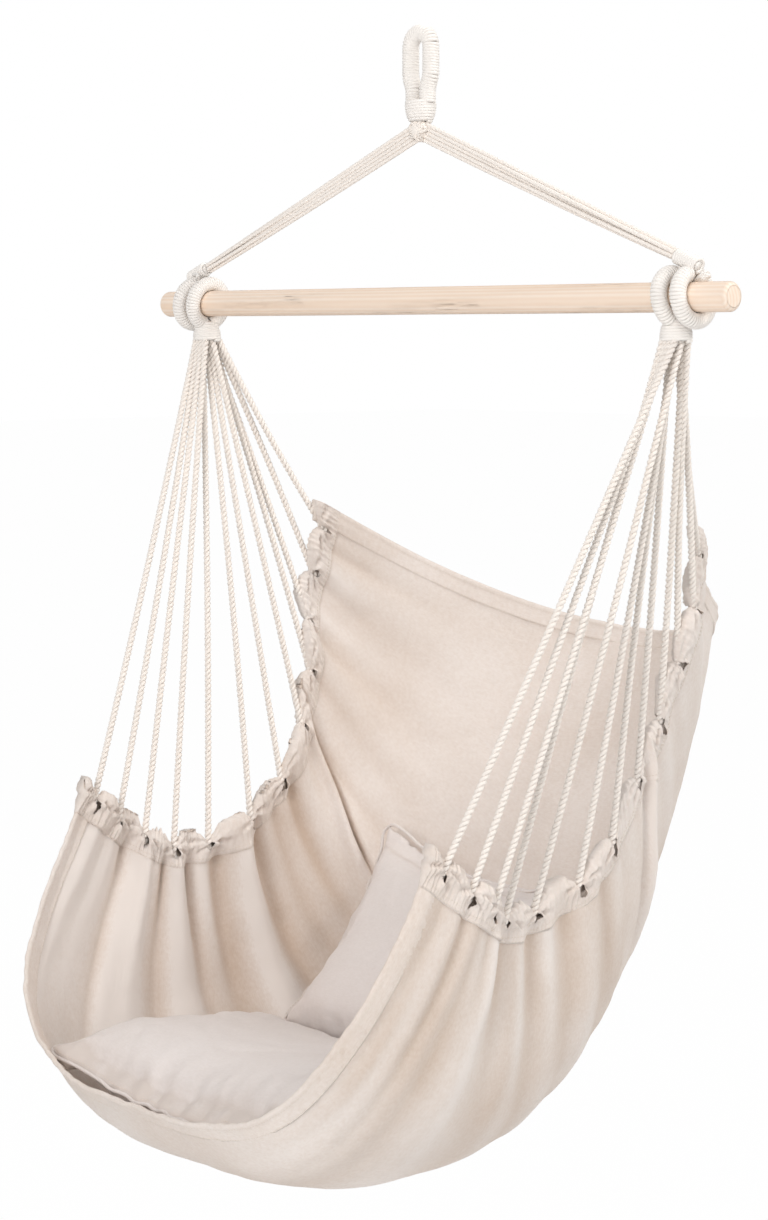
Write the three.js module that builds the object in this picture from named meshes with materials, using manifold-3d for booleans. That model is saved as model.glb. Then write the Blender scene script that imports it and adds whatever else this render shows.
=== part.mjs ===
// Hammock chair hung from one point: a corded eye, a rope harness, a round spreader bar,
// a fan of cords at each end and a gathered canvas sling that holds two loose cushions.
// Millimetres, +Z up. The origin is the bearing point inside the top of the eye, +X runs
// along the bar towards the sitter's left and the sitter faces -Y.
import * as THREE from "three";
import { mergeVertices } from "three/addons/utils/BufferGeometryUtils.js";
import Module from "manifold-3d";

const wasm = await Module();
wasm.setup();

// Clearances
const fit = 0.35; // between pieces that touch
const overrun = 1; // how far a joined solid reaches into its neighbour

// Eye that goes over the hook
const eyeCore = 10.6; // rope bundle inside the serving
const eyeHalfWidth = 16; // rope centre line to the middle of the eye
const eyeFootDrop = 66;
const eyeServingEnd = 60;
const servingCord = 3.6; // cord wound over the eye and over the four loops
const eyeTurns = 18;
const loopTurns = 9;
const stepsPerTurn = 8;
const cordEndShare = 0.75; // of a cord, from a served edge to the first turn's centre

// Throat, where the harness ropes come together under the eye
const throatTopRadius = 16;
const throatFootRadius = 12;
const throatShoulderShare = 0.4; // of the throat's height, where it is full
const throatTurns = 2.75;
const knotDrop = 94;
const knotRadius = 11;

// Spreader bar
const barLength = 900;
const barDiameter = 30;
const barEndRadius = 5;
const barDrop = 284;

// Loops round the bar: the harness hangs the bar, and the sling hangs from the bar inside them
const barOverhang = 78; // of the bar, past the middle of the sling's loop
const loopSpacing = 25.5;
const loopCore = 9.4;
const loopTilt = THREE.MathUtils.degToRad(8);
const loopOpen = THREE.MathUtils.degToRad(78); // left bare where the loop closes on itself

// Harness ropes
const ropeDiameter = 4.5;
const ropeGap = 0.3;
const ropesPerLeg = 5;
const ropeNestShare = 0.52; // of their pitch, how close the ropes lie where they enter the stub
const legStubDiameter = 14;
const legStubLength = 20;
const legLift = 3.5; // keeps the leg clear of the sling's loop that turns below it

// Necks and fans
const neckShift = 3; // of the neck, outwards from the middle of its leaning loop
const neckTopRadius = 10.5;
const neckRadius = 13.5;
const neckLength = 21;
const neckShoulderShares = [0.55, 0.75]; // of the neck's height, where it starts and ends its taper
const neckTurns = 2.75;
const fanCord = 3.8;
const fanCordsPerSide = 12;
const fanLayers = 4;
const fanLayerPitch = 6;
const fanRowPitch = 4.4;
const fanBend = 4; // radius of a cord's turn at the hem
const cordClearRun = 176; // length up from the hem over which a cord is seated clear of the casing
const fanLayerOrder = [3, 2, 1, 0, 3, 2, 1, 0, 2, 3, 1, 0]; // layer of each cord in the neck, front to back

// Canvas sling
const slingHalfWidth = 320;
const slingReach = 400; // middle of the back hem, behind the hang point
const slingDrop = 955; // bar centre to the lowest point of the seat
const canvas = 2;
const hemWidth = 26;
const hemThickness = 6;
const hemProfileShares = [0.55, 1, 0.55]; // of hemThickness, across the hem
const seamGap = 0.8; // between the canvas, its hems and its side casings
const casingDepth = 44;
const casingPuff = 15;
const casingSlit = 5;
const casingProfileShares = [0.45, 1, 0.8, 0.3]; // of its thickness, from the edge inwards
const notchDepth = 11;
const foldDepth = 7;
const foldRun = 150;
const foldCount = 6;
const clothCells = [18, 26]; // across the sling and from its lip to its back hem
const foldEndShare = 0.125; // of the sling's run, where the folds fade at the lip and at the back hem

// Cushions
const seatWidth = 428;
const seatLength = 330;
const seatThickness = 98;
const seatCentreY = -214;
const seatPitch = THREE.MathUtils.degToRad(-8);
const backWidth = 428;
const backLength = 290;
const backThickness = 100;
const backCentreY = 70;
const backDrop = 1046;
const backPitch = THREE.MathUtils.degToRad(51);
const cushionPull = 14; // how far a side draws in between its corners
const cushionEdge = 10; // thickness of the seamed edge
const cushionDish = 30; // rise of the sides where the trough bends a cushion
const cushionCrown = 0.6; // power that rounds the crown; less is flatter
const cushionRest = 0.6; // between a cushion and the canvas under it

// Small ends of the serving cord
const tailLength = 27;
const endKnotRadius = 6;

// Where the sling's centre line runs, front to back, as shares of slingReach and slingDrop
const middleShares = [
  [-1.02, 0.889], [-0.812, 0.971], [-0.27, 1], [0.208, 0.94], [0.56, 0.795], [0.787, 0.6], [1, 0.421],
];
// Where its gathered side runs, as shares of slingHalfWidth, slingReach and slingDrop
const sideShares = [
  [0.888, -0.66, 0.571], [0.906, -0.477, 0.625], [0.8375, -0.305, 0.6555], [0.844, 0.005, 0.617],
  [0.919, 0.205, 0.496], [1, 0.255, 0.37], [0.944, 0.285, 0.254],
];
// How square the trough is, and how late it turns back to the side, front to back
const troughShares = [[2.99, 3.16], [3.36, 2.35], [1.9, 1.62], [1.78, 1.56]];
// Free end of the serving cord, as shares of tailLength from the leg's served stub
const tailShares = [[0, 0, 0], [0.3, -0.06, 0.03], [0.62, -0.26, -0.04], [0.9, -0.5, -0.2]];

// Derived places
const slingLoopX = barLength / 2 - barOverhang;
const neckX = slingLoopX + neckShift;
const servingRadius = servingCord / 2;
const eyeWound = eyeCore / 2 + servingRadius + 2 * fit; // serving's centre line round the rope
const eyeOuter = eyeWound + servingRadius;
const eyeFootX = eyeOuter + 2 * fit; // the served legs close up side by side
const eyeCrown = eyeOuter - eyeHalfWidth; // centre of the crown's arc, above the bearing point
const loopWound = loopCore / 2 + servingRadius + 2 * fit;
const loopOuter = loopWound + servingRadius;
const loopRadius = (barDiameter / 2 + loopOuter + fit) / Math.cos(loopTilt);
const harnessLoopX = slingLoopX + loopSpacing;
const throatTop = -eyeFootDrop - fit;
const throatFoot = -knotDrop + knotRadius + fit;
const neckFoot = -barDrop - loopRadius - neckLength;
const cordStart = neckFoot - fanCord / 4 - fit; // a leaning cord's square end rises by up to a quarter of it
const spineCentre = new THREE.Vector3(0, 0, -knotDrop);

const materials = {
  rope: { color: 0xe9e2d4, roughness: 0.95, metalness: 0 },
  canvas: { color: 0xded0bb, roughness: 0.92, metalness: 0 },
  cushion: { color: 0xd9d3c9, roughness: 0.94, metalness: 0 },
  pine: { color: 0xe6cfae, roughness: 0.55, metalness: 0 },
};

const chair = new THREE.Group();
chair.name = "hammock_chair";

function addPiece(name, geometry, finish) {
  const piece = new THREE.Mesh(geometry, new THREE.MeshStandardMaterial(materials[finish]));
  piece.name = name;
  chair.add(piece);
  return piece;
}

function geometryOf(vertices, faces) {
  const geometry = new THREE.BufferGeometry();
  const numbers = vertices.flatMap((point) => point.toArray());
  geometry.setAttribute("position", new THREE.Float32BufferAttribute(numbers, 3));
  geometry.setIndex(faces.flat());
  geometry.computeVertexNormals();
  return geometry;
}

// A solid for joining and cutting, from a closed geometry.
function solidOf(geometry) {
  const bare = geometry.clone();
  bare.deleteAttribute("normal");
  bare.deleteAttribute("uv");
  const merged = mergeVertices(bare);
  return new wasm.Manifold(new wasm.Mesh({
    numProp: 3,
    vertProperties: new Float32Array(merged.attributes.position.array),
    triVerts: new Uint32Array(merged.index.array),
  }));
}

function geometryFrom(solid) {
  const mesh = solid.getMesh();
  const geometry = new THREE.BufferGeometry();
  geometry.setAttribute("position", new THREE.BufferAttribute(mesh.vertProperties, mesh.numProp));
  geometry.setIndex(new THREE.BufferAttribute(mesh.triVerts, 1));
  geometry.computeVertexNormals();
  return geometry;
}

// A closed tube through centre points, square at both ends, its section carried along without twist.
function tube(points, radius, sides) {
  const rings = [];
  const along = (i) => {
    const before = points[Math.max(i - 1, 0)];
    const after = points[Math.min(i + 1, points.length - 1)];
    return after.clone().sub(before).normalize();
  };
  let normal = new THREE.Vector3(0, 1, 0);
  if (Math.abs(along(0).y) > 0.9) normal = new THREE.Vector3(1, 0, 0);
  for (let i = 0; i < points.length; i += 1) {
    const tangent = along(i);
    normal = normal.clone().addScaledVector(tangent, -normal.dot(tangent)).normalize();
    const binormal = tangent.clone().cross(normal);
    const ring = [];
    for (let k = 0; k < sides; k += 1) {
      const turn = (2 * Math.PI * k) / sides;
      const out = normal.clone().multiplyScalar(Math.cos(turn)).addScaledVector(binormal, Math.sin(turn));
      ring.push(points[i].clone().addScaledVector(out, radius));
    }
    rings.push(ring);
  }
  const vertices = rings.flat();
  const faces = [];
  const at = (i, k) => i * sides + (k % sides);
  for (let i = 0; i + 1 < points.length; i += 1) {
    for (let k = 0; k < sides; k += 1) {
      faces.push([at(i, k), at(i, k + 1), at(i + 1, k + 1)], [at(i, k), at(i + 1, k + 1), at(i + 1, k)]);
    }
  }
  const last = points.length - 1;
  for (let k = 1; k + 1 < sides; k += 1) {
    faces.push([at(0, 0), at(0, k + 1), at(0, k)], [at(last, 0), at(last, k), at(last, k + 1)]);
  }
  return geometryOf(vertices, faces);
}

// Centre line of a cord wound round a rope that lies in the plane square to planeNormal.
function windingLine(path, planeNormal, from, to, turns, radius) {
  const points = [];
  for (let i = 0; i <= turns * stepsPerTurn; i += 1) {
    const place = from + ((to - from) * i) / (turns * stepsPerTurn);
    const turn = (2 * Math.PI * i) / stepsPerTurn;
    const out = path.getTangentAt(place).cross(planeNormal).normalize();
    const point = path.getPointAt(place);
    point.addScaledVector(out, radius * Math.cos(turn));
    point.addScaledVector(planeNormal, radius * Math.sin(turn));
    points.push(point);
  }
  return points;
}

// Least distance between two turns of a cord, measured on points along its centre line.
function leastSelfGap(points, diameter) {
  const fine = [];
  for (let i = 0; i + 1 < points.length; i += 1) {
    for (let k = 0; k < 6; k += 1) fine.push(points[i].clone().lerp(points[i + 1], k / 6));
  }
  let least = Infinity;
  for (let i = 0; i < fine.length; i += 1) {
    for (let j = i + 24; j < fine.length; j += 1) least = Math.min(least, fine[i].distanceTo(fine[j]));
  }
  return least - diameter;
}

function addWinding(name, points, diameter) {
  const gap = leastSelfGap(points, diameter);
  console.log(`${name}: least gap to itself ${gap.toFixed(2)} mm`);
  return addPiece(name, tube(points, diameter / 2, 5), "rope");
}

// A circle in space, used as the centre line of a loop round the bar.
class LoopCurve extends THREE.Curve {
  constructor(centre, radius, tilt, openAt) {
    super();
    this.centre = centre;
    this.radius = radius;
    this.tilt = tilt;
    this.openAt = openAt;
  }

  getPoint(t, target = new THREE.Vector3()) {
    const turn = 2 * Math.PI * t + this.openAt;
    target.set(0, this.radius * Math.sin(turn), this.radius * Math.cos(turn));
    return target.applyAxisAngle(new THREE.Vector3(0, 1, 0), this.tilt).add(this.centre);
  }
}

// Eye
function eyePath() {
  const crown = [];
  for (let i = 0; i <= 6; i += 1) {
    const turn = Math.PI - (Math.PI * i) / 6;
    crown.push(new THREE.Vector3(eyeHalfWidth * Math.cos(turn), 0, eyeCrown + eyeHalfWidth * Math.sin(turn)));
  }
  const leg = (side) => [
    new THREE.Vector3(side * eyeFootX, 0, -eyeFootDrop),
    new THREE.Vector3(side * eyeFootX, 0, -eyeServingEnd),
    new THREE.Vector3(side * eyeHalfWidth, 0, -eyeServingEnd / 2),
  ];
  return new THREE.CatmullRomCurve3([...leg(-1), ...crown, ...leg(1).reverse()]);
}

function addEye() {
  const path = eyePath();
  const plane = new THREE.Vector3(0, 1, 0);
  const bare = (eyeFootDrop - eyeServingEnd) / path.getLength();
  addPiece("eye_core", tube(path.getSpacedPoints(30), eyeCore / 2, 8), "rope");
  addWinding("eye_serving", windingLine(path, plane, bare, 1 - bare, eyeTurns, eyeWound), servingCord);
}

// Throat and knot
function addThroat() {
  const height = throatTop - throatFoot;
  const profile = [
    new THREE.Vector2(0, 0),
    new THREE.Vector2(throatFootRadius, 0),
    new THREE.Vector2(throatTopRadius, height * throatShoulderShare),
    new THREE.Vector2(throatTopRadius, height),
    new THREE.Vector2(0, height),
  ];
  const core = new THREE.LatheGeometry(profile, 16);
  core.rotateX(Math.PI / 2);
  core.translate(0, 0, throatFoot);
  addPiece("throat_core", core, "rope");
  const axis = new THREE.LineCurve3(
    new THREE.Vector3(0, 0, throatTop - servingCord * cordEndShare),
    new THREE.Vector3(0, 0, throatFoot + servingRadius),
  );
  const wound = (throatTopRadius + servingRadius + fit) / Math.cos(Math.PI / stepsPerTurn);
  const line = windingLine(axis, new THREE.Vector3(0, 1, 0), 0, 1, throatTurns, wound);
  addWinding("throat_whipping", line, servingCord);
  const knot = new THREE.SphereGeometry(knotRadius, 16, 10);
  knot.rotateX(Math.PI / 2);
  knot.translate(0, 0, -knotDrop);
  addPiece("throat_knot", knot, "rope");
}

// Bar
function addBar() {
  const profile = [new THREE.Vector2(0, -barLength / 2)];
  const corner = (end, from) => {
    for (let i = 0; i <= 3; i += 1) {
      const turn = ((from + i) * Math.PI) / 6;
      const out = barDiameter / 2 - barEndRadius + barEndRadius * Math.cos(turn);
      const place = end * (barLength / 2 - barEndRadius) + barEndRadius * Math.sin(turn);
      profile.push(new THREE.Vector2(out, place));
    }
  };
  corner(-1, -3);
  corner(1, 0);
  profile.push(new THREE.Vector2(0, barLength / 2));
  const bar = new THREE.LatheGeometry(profile, 24);
  bar.rotateZ(-Math.PI / 2);
  bar.translate(0, 0, -barDrop);
  addPiece("spreader_bar", bar, "pine");
}

// The loop's rope with the stub in which its ends are gathered, as one solid.
function loopSolid(loop, stub) {
  const ring = new THREE.TorusGeometry(loop.radius, loopCore / 2, 8, 20);
  ring.rotateY(Math.PI / 2 + loop.tilt);
  ring.translate(...loop.centre.toArray());
  return geometryFrom(solidOf(ring).add(solidOf(stub)));
}

function sideName(side) {
  return side > 0 ? "left" : "right";
}

// Middle of the leg's line from the knot to the served stub on top of the harness loop.
function legEnd(side) {
  const rise = loopRadius + legStubDiameter / 2 + legLift;
  return new THREE.Vector3(side * (harnessLoopX - loopRadius * Math.sin(loopTilt)), 0, -barDrop + rise);
}

function addHarnessLoop(side) {
  const centre = new THREE.Vector3(side * harnessLoopX, 0, -barDrop + fit);
  const loop = new LoopCurve(centre, loopRadius, -side * loopTilt, 0);
  const end = legEnd(side);
  const towardKnot = spineCentre.clone().sub(end).normalize();
  const stub = tube([
    end.clone().addScaledVector(towardKnot, -legStubDiameter / 2),
    end.clone().addScaledVector(towardKnot, legStubLength),
  ], legStubDiameter / 2, 10);
  addPiece(`harness_loop_core_${sideName(side)}`, loopSolid(loop, stub), "rope");
  const plane = new THREE.Vector3(1, 0, 0).applyAxisAngle(new THREE.Vector3(0, 1, 0), loop.tilt);
  const bare = loopOpen / (4 * Math.PI);
  const line = windingLine(loop, plane, bare, 1 - bare, loopTurns, loopWound);
  addWinding(`harness_loop_serving_${sideName(side)}`, line, servingCord);
  return end.addScaledVector(towardKnot, legStubLength);
}

function addLegRopes(side, stubEnd) {
  const pitch = ropeDiameter + ropeGap;
  const axis = stubEnd.clone().sub(spineCentre).normalize();
  const across = new THREE.Vector3(0, 1, 0);
  const above = axis.clone().cross(across).multiplyScalar(-side).normalize();
  for (let i = 0; i < ropesPerLeg; i += 1) {
    const place = i - (ropesPerLeg - 1) / 2;
    const start = spineCentre.clone().addScaledVector(axis, knotRadius + fit);
    start.addScaledVector(above, place * pitch);
    const nested = pitch * ropeNestShare;
    const end = stubEnd.clone().addScaledVector(axis, -2 * fit).addScaledVector(above, place * nested);
    end.addScaledVector(across, i % 2 === 0 ? nested : -nested);
    addPiece(`harness_rope_${sideName(side)}_${i + 1}`, tube([start, end], ropeDiameter / 2, 8), "rope");
  }
}

function addSlingLoop(side) {
  const centre = new THREE.Vector3(side * slingLoopX, 0, -barDrop - fit);
  const loop = new LoopCurve(centre, loopRadius, -side * loopTilt, Math.PI);
  const foot = neckFoot;
  const top = -barDrop - loopRadius + loopCore / 2 - overrun;
  const height = top - foot;
  const profile = [
    new THREE.Vector2(0, 0),
    new THREE.Vector2(neckRadius, 0),
    new THREE.Vector2(neckRadius, height * neckShoulderShares[0]),
    new THREE.Vector2(neckTopRadius, height * neckShoulderShares[1]),
    new THREE.Vector2(loopCore / 2, height),
    new THREE.Vector2(0, height),
  ];
  const neck = new THREE.LatheGeometry(profile, 16);
  neck.rotateX(Math.PI / 2);
  neck.translate(side * neckX, 0, foot);
  addPiece(`sling_loop_core_${sideName(side)}`, loopSolid(loop, neck), "rope");
  const plane = new THREE.Vector3(1, 0, 0).applyAxisAngle(new THREE.Vector3(0, 1, 0), loop.tilt);
  const bare = loopOpen / (4 * Math.PI);
  const line = windingLine(loop, plane, bare, 1 - bare, loopTurns, loopWound);
  addWinding(`sling_loop_serving_${sideName(side)}`, line, servingCord);
  const firstTurn = foot + servingCord * cordEndShare;
  const lastTurn = firstTurn + neckTurns * (servingCord + 2 * fit);
  const axis = new THREE.LineCurve3(
    new THREE.Vector3(side * neckX, 0, firstTurn),
    new THREE.Vector3(side * neckX, 0, lastTurn),
  );
  const wound = (neckRadius + servingRadius + fit) / Math.cos(Math.PI / stepsPerTurn);
  const whipping = windingLine(axis, new THREE.Vector3(0, 1, 0), 0, 1, neckTurns, wound);
  addWinding(`neck_whipping_${sideName(side)}`, whipping, servingCord);
}

// Sling surface
function slingPlace(x, y, z) {
  return new THREE.Vector3(x * slingHalfWidth, y * slingReach, -barDrop - z * slingDrop);
}

const sideCurve = new THREE.CatmullRomCurve3(
  sideShares.map(([x, y, z]) => slingPlace(x, y, z)),
  false,
  "catmullrom",
);
const middleCurve = new THREE.CatmullRomCurve3(
  middleShares.map(([y, z]) => slingPlace(0, y, z)),
  false,
  "catmullrom",
);
const troughCurve = new THREE.CatmullRomCurve3(
  troughShares.map(([square, late]) => new THREE.Vector3(square, late, 0)),
  false,
  "catmullrom",
);

// A point of the sling: u runs across from -1 to 1 and v from the front lip at 0 to the back hem at 1.
function troughPoint(u, v) {
  const side = sideCurve.getPoint(v);
  const middle = middleCurve.getPoint(v);
  const trough = troughCurve.getPoint(v);
  const lean = (Math.abs(u) * Math.PI) / 2;
  const across = Math.sin(lean) ** (2 / trough.x);
  const rise = 1 - Math.max(Math.cos(lean), 0) ** (2 / trough.x);
  return new THREE.Vector3(
    Math.sign(u) * side.x * across,
    middle.y + (side.y - middle.y) * Math.abs(u) ** trough.y,
    middle.z + (side.z - middle.z) * rise,
  );
}

// Half the cloth's width at v, with the u that lies at each share of that width.
const rows = new Map();
function clothRow(v) {
  const key = v.toFixed(5);
  if (rows.has(key)) return rows.get(key);
  const samples = 80;
  const lengths = [0];
  for (let i = 1; i <= samples; i += 1) {
    const step = troughPoint(i / samples, v).distanceTo(troughPoint((i - 1) / samples, v));
    lengths.push(lengths[i - 1] + step);
  }
  const width = lengths[samples];
  const place = (share) => {
    const wanted = Math.min(Math.abs(share), 1) * width;
    let i = 1;
    while (i < samples && lengths[i] < wanted) i += 1;
    const part = (wanted - lengths[i - 1]) / (lengths[i] - lengths[i - 1]);
    return (Math.sign(share) * (i - 1 + part)) / samples;
  };
  const row = { width, place };
  rows.set(key, row);
  return row;
}

function clothPoint(share, v) {
  return troughPoint(clothRow(v).place(share), v);
}

function clothNormal(share, v) {
  const small = 1e-3;
  const low = Math.max(share - small, -1);
  const high = Math.min(share + small, 1);
  const across = clothPoint(high, v).sub(clothPoint(low, v));
  const along = clothPoint(share, Math.min(v + small, 1)).sub(clothPoint(share, Math.max(v - small, 0)));
  return along.cross(across).normalize();
}

// Gathered folds fall from the sides and die out down the cloth.
function foldedPoint(share, v) {
  const fromSide = (1 - Math.abs(share)) * clothRow(v).width;
  const depth = foldDepth * Math.exp(-((fromSide / foldRun) ** 2));
  const wave = Math.cos(2 * Math.PI * foldCount * v);
  const fade = Math.min(1, v / foldEndShare, (1 - v) / foldEndShare);
  return clothPoint(share, v).addScaledVector(clothNormal(share, v), depth * wave * fade);
}

// Millimetres of cloth per unit of v, near an edge.
function edgePace(share, v) {
  const small = 5e-3;
  const low = Math.max(v - small, 0);
  const high = Math.min(v + small, 1);
  return clothPoint(share, high).distanceTo(clothPoint(share, low)) / (high - low);
}

// A closed sheet over a grid of places, each with its point, outward normal and thickness.
function sheet(place, across, along) {
  const top = [];
  const bottom = [];
  for (let i = 0; i <= across; i += 1) {
    for (let j = 0; j <= along; j += 1) {
      const { point, normal, thickness } = place(i / across, j / along);
      top.push(point.clone().addScaledVector(normal, -thickness / 2));
      bottom.push(point.clone().addScaledVector(normal, thickness / 2));
    }
  }
  const count = top.length;
  const at = (i, j) => i * (along + 1) + j;
  const faces = [];
  const quad = (a, b, c, d) => faces.push([a, b, c], [a, c, d]);
  for (let i = 0; i < across; i += 1) {
    for (let j = 0; j < along; j += 1) {
      const [a, b, c, d] = [at(i, j), at(i + 1, j), at(i + 1, j + 1), at(i, j + 1)];
      quad(a, b, c, d);
      quad(count + a, count + d, count + c, count + b);
    }
  }
  const wall = (a, b) => quad(a, a + count, b + count, b);
  for (let i = 0; i < across; i += 1) {
    wall(at(i, 0), at(i + 1, 0));
    wall(at(i + 1, along), at(i, along));
  }
  for (let j = 0; j < along; j += 1) {
    wall(at(across, j), at(across, j + 1));
    wall(at(0, j + 1), at(0, j));
  }
  return geometryOf([...top, ...bottom], faces);
}

// Turns a sheet's faces outwards where its grid runs the other way.
function facingOut(geometry) {
  const index = geometry.index.array;
  const at = geometry.attributes.position;
  let volume = 0;
  const [a, b, c] = [new THREE.Vector3(), new THREE.Vector3(), new THREE.Vector3()];
  for (let i = 0; i < index.length; i += 3) {
    a.fromBufferAttribute(at, index[i]);
    b.fromBufferAttribute(at, index[i + 1]);
    c.fromBufferAttribute(at, index[i + 2]);
    volume += a.dot(b.cross(c));
  }
  if (volume > 0) return geometry;
  for (let i = 0; i < index.length; i += 3) [index[i], index[i + 1]] = [index[i + 1], index[i]];
  geometry.computeVertexNormals();
  return geometry;
}

function mainShare(v, extra) {
  return 1 - (casingDepth + extra) / clothRow(v).width;
}

function addCloth() {
  const place = (i, j) => {
    const rough = 2 * i - 1;
    const front = (hemWidth + seamGap) / edgePace(rough * mainShare(0, seamGap), 0);
    const back = (hemWidth + seamGap) / edgePace(rough * mainShare(1, seamGap), 1);
    const v = front + (1 - front - back) * j;
    const share = rough * mainShare(v, seamGap);
    return { point: foldedPoint(share, v), normal: clothNormal(share, v), thickness: canvas };
  };
  return addPiece("sling_cloth", facingOut(sheet(place, ...clothCells)), "canvas");
}

function addHem(name, edge) {
  const hemCells = hemProfileShares.length - 1;
  const place = (i, j) => {
    const rough = 2 * i - 1;
    const width = hemWidth / edgePace(rough * mainShare(edge, seamGap), edge);
    const v = edge === 0 ? width * j : 1 - width * j;
    const share = rough * mainShare(v, seamGap);
    const thickness = hemThickness * hemProfileShares[Math.round(hemCells * j)];
    return { point: foldedPoint(share, v), normal: clothNormal(share, v), thickness };
  };
  return addPiece(name, facingOut(sheet(place, clothCells[0], hemCells)), "canvas");
}

// How far a place on the side stands from a cord's slit to the puff between two cords, 0 to 1.
function puffAt(v) {
  return (1 + Math.cos(2 * Math.PI * fanCordsPerSide * v)) / 2;
}

function addCasing(side) {
  const casingCells = casingProfileShares.length - 1;
  const place = (i, j) => {
    const puff = puffAt(j);
    const width = clothRow(j).width;
    const top = 1 - (notchDepth * (1 - puff)) / width;
    const share = side * (top + (mainShare(j, 0) - top) * i);
    const full = casingSlit + (casingPuff - casingSlit) * puff;
    const thickness = full * casingProfileShares[Math.round(casingCells * i)];
    return { point: foldedPoint(share, j), normal: clothNormal(share, j), thickness };
  };
  const casing = sheet(place, casingCells, 2 * fanCordsPerSide);
  return addPiece(`side_casing_${sideName(side)}`, facingOut(casing), "canvas");
}

function trianglesNear(mesh, centre, reach) {
  const at = mesh.geometry.attributes.position;
  const index = mesh.geometry.index.array;
  const found = [];
  for (let i = 0; i < index.length; i += 3) {
    const corners = [0, 1, 2].map((k) => new THREE.Vector3().fromBufferAttribute(at, index[i + k]));
    const triangle = new THREE.Triangle(...corners);
    if (triangle.getMidpoint(new THREE.Vector3()).distanceTo(centre) < reach) found.push(triangle);
  }
  return found;
}

// Least distance from a cord's centre line to a set of triangles, near the cord's turn at the hem.
function leastDistance(triangles, line) {
  const turn = line[Math.floor(line.length / 2)];
  const nearest = new THREE.Vector3();
  let least = Infinity;
  for (let i = 0; i + 1 < line.length; i += 1) {
    const steps = Math.ceil(line[i].distanceTo(line[i + 1]) / fanCord);
    for (let k = 0; k <= steps; k += 1) {
      const point = line[i].clone().lerp(line[i + 1], k / steps);
      if (point.distanceTo(turn) > cordClearRun) continue;
      for (const triangle of triangles) {
        triangle.closestPointToPoint(point, nearest);
        least = Math.min(least, nearest.distanceTo(point));
      }
    }
  }
  return least;
}

// Fan cords: each runs from the neck to a slit in the casing, turns there and runs back.
function addFanCord(side, number, casing) {
  const layer = fanLayerOrder[number] - (fanLayers - 1) / 2;
  const row = 2 * Math.floor(number / fanLayers) - fanCordsPerSide / fanLayers + 0.5;
  const neck = (leg) => new THREE.Vector3(
    side * (neckX + layer * fanLayerPitch),
    (row + leg) * fanRowPitch,
    cordStart,
  );
  const v = (number + 0.5) / fanCordsPerSide;
  const slit = foldedPoint(side * (1 - notchDepth / clothRow(v).width), v);
  const toNeck = neck(0.5).sub(slit).normalize();
  const small = 5e-3;
  const along = foldedPoint(side, v + small).sub(foldedPoint(side, v - small));
  along.addScaledVector(toNeck, -along.dot(toNeck)).normalize();
  const off = clothPoint(side, v).sub(clothPoint(side * (1 - small), v)).normalize();
  const turnAt = (reach) => {
    const bend = slit.clone().addScaledVector(off, reach);
    const points = [];
    for (let i = 0; i <= 4; i += 1) {
      const turn = (Math.PI * i) / 4;
      const point = bend.clone().addScaledVector(along, -fanBend * Math.cos(turn));
      points.push(point.addScaledVector(toNeck, -fanBend * Math.sin(turn)));
    }
    return [neck(0), ...points, neck(1)];
  };
  const faces = trianglesNear(casing, slit, cordClearRun);
  const wanted = fanCord / 2 + fit;
  let low = 0;
  let high = casingDepth;
  for (let i = 0; i < 12; i += 1) {
    const reach = (low + high) / 2;
    if (leastDistance(faces, turnAt(reach)) > wanted) high = reach;
    else low = reach;
  }
  const points = turnAt(high);
  addPiece(`fan_cord_${sideName(side)}_${number + 1}`, tube(points, fanCord / 2, 6), "rope");
}

// Cushions
// A seamed cushion with a crown on both faces and sides that draw in between the corners.
function cushion(width, length, thickness) {
  const across = 10;
  const along = 10;
  const place = (i, j) => {
    const x = Math.sin((i - 0.5) * Math.PI);
    const y = Math.sin((j - 0.5) * Math.PI);
    const pullX = cushionPull * (1 - y * y);
    const pullY = cushionPull * (1 - x * x);
    const dish = cushionDish * x * x;
    const point = new THREE.Vector3(x * (width / 2 - pullX), y * (length / 2 - pullY), dish);
    const crown = ((1 - x ** 4) * (1 - y ** 4)) ** cushionCrown;
    const full = cushionEdge + (thickness - cushionEdge) * crown;
    return { point, normal: new THREE.Vector3(0, 0, 1), thickness: full };
  };
  return facingOut(sheet(place, across, along));
}

// The corners of a mesh and the middles of its edges.
function samplePoints(mesh) {
  const at = mesh.geometry.attributes.position;
  const index = mesh.geometry.index.array;
  const points = [];
  for (let i = 0; i < index.length; i += 3) {
    for (let k = 0; k < 3; k += 1) {
      const corner = new THREE.Vector3().fromBufferAttribute(at, index[i + k]);
      const next = new THREE.Vector3().fromBufferAttribute(at, index[i + ((k + 1) % 3)]);
      points.push(corner, corner.clone().lerp(next, 1 / 2));
    }
  }
  return points;
}

// Least room between two meshes along a direction, cast both ways.
function roomAlong(moving, fixed, direction) {
  const caster = new THREE.Raycaster();
  let room = Infinity;
  const cast = (from, to, way) => {
    for (const point of samplePoints(from)) {
      caster.set(point.addScaledVector(way, -slingReach), way);
      for (const hit of caster.intersectObject(to)) room = Math.min(room, hit.distance - slingReach);
    }
  };
  cast(moving, fixed, direction);
  cast(fixed, moving, direction.clone().negate());
  return room;
}

// Moves a cushion along a direction until it rests on the first of the pieces in its way.
function restOn(cushionMesh, pieces, direction) {
  const room = Math.min(...pieces.map((piece) => roomAlong(cushionMesh, piece, direction)));
  cushionMesh.geometry.translate(...direction.clone().multiplyScalar(room - cushionRest).toArray());
  cushionMesh.geometry.computeBoundingSphere();
}

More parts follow.
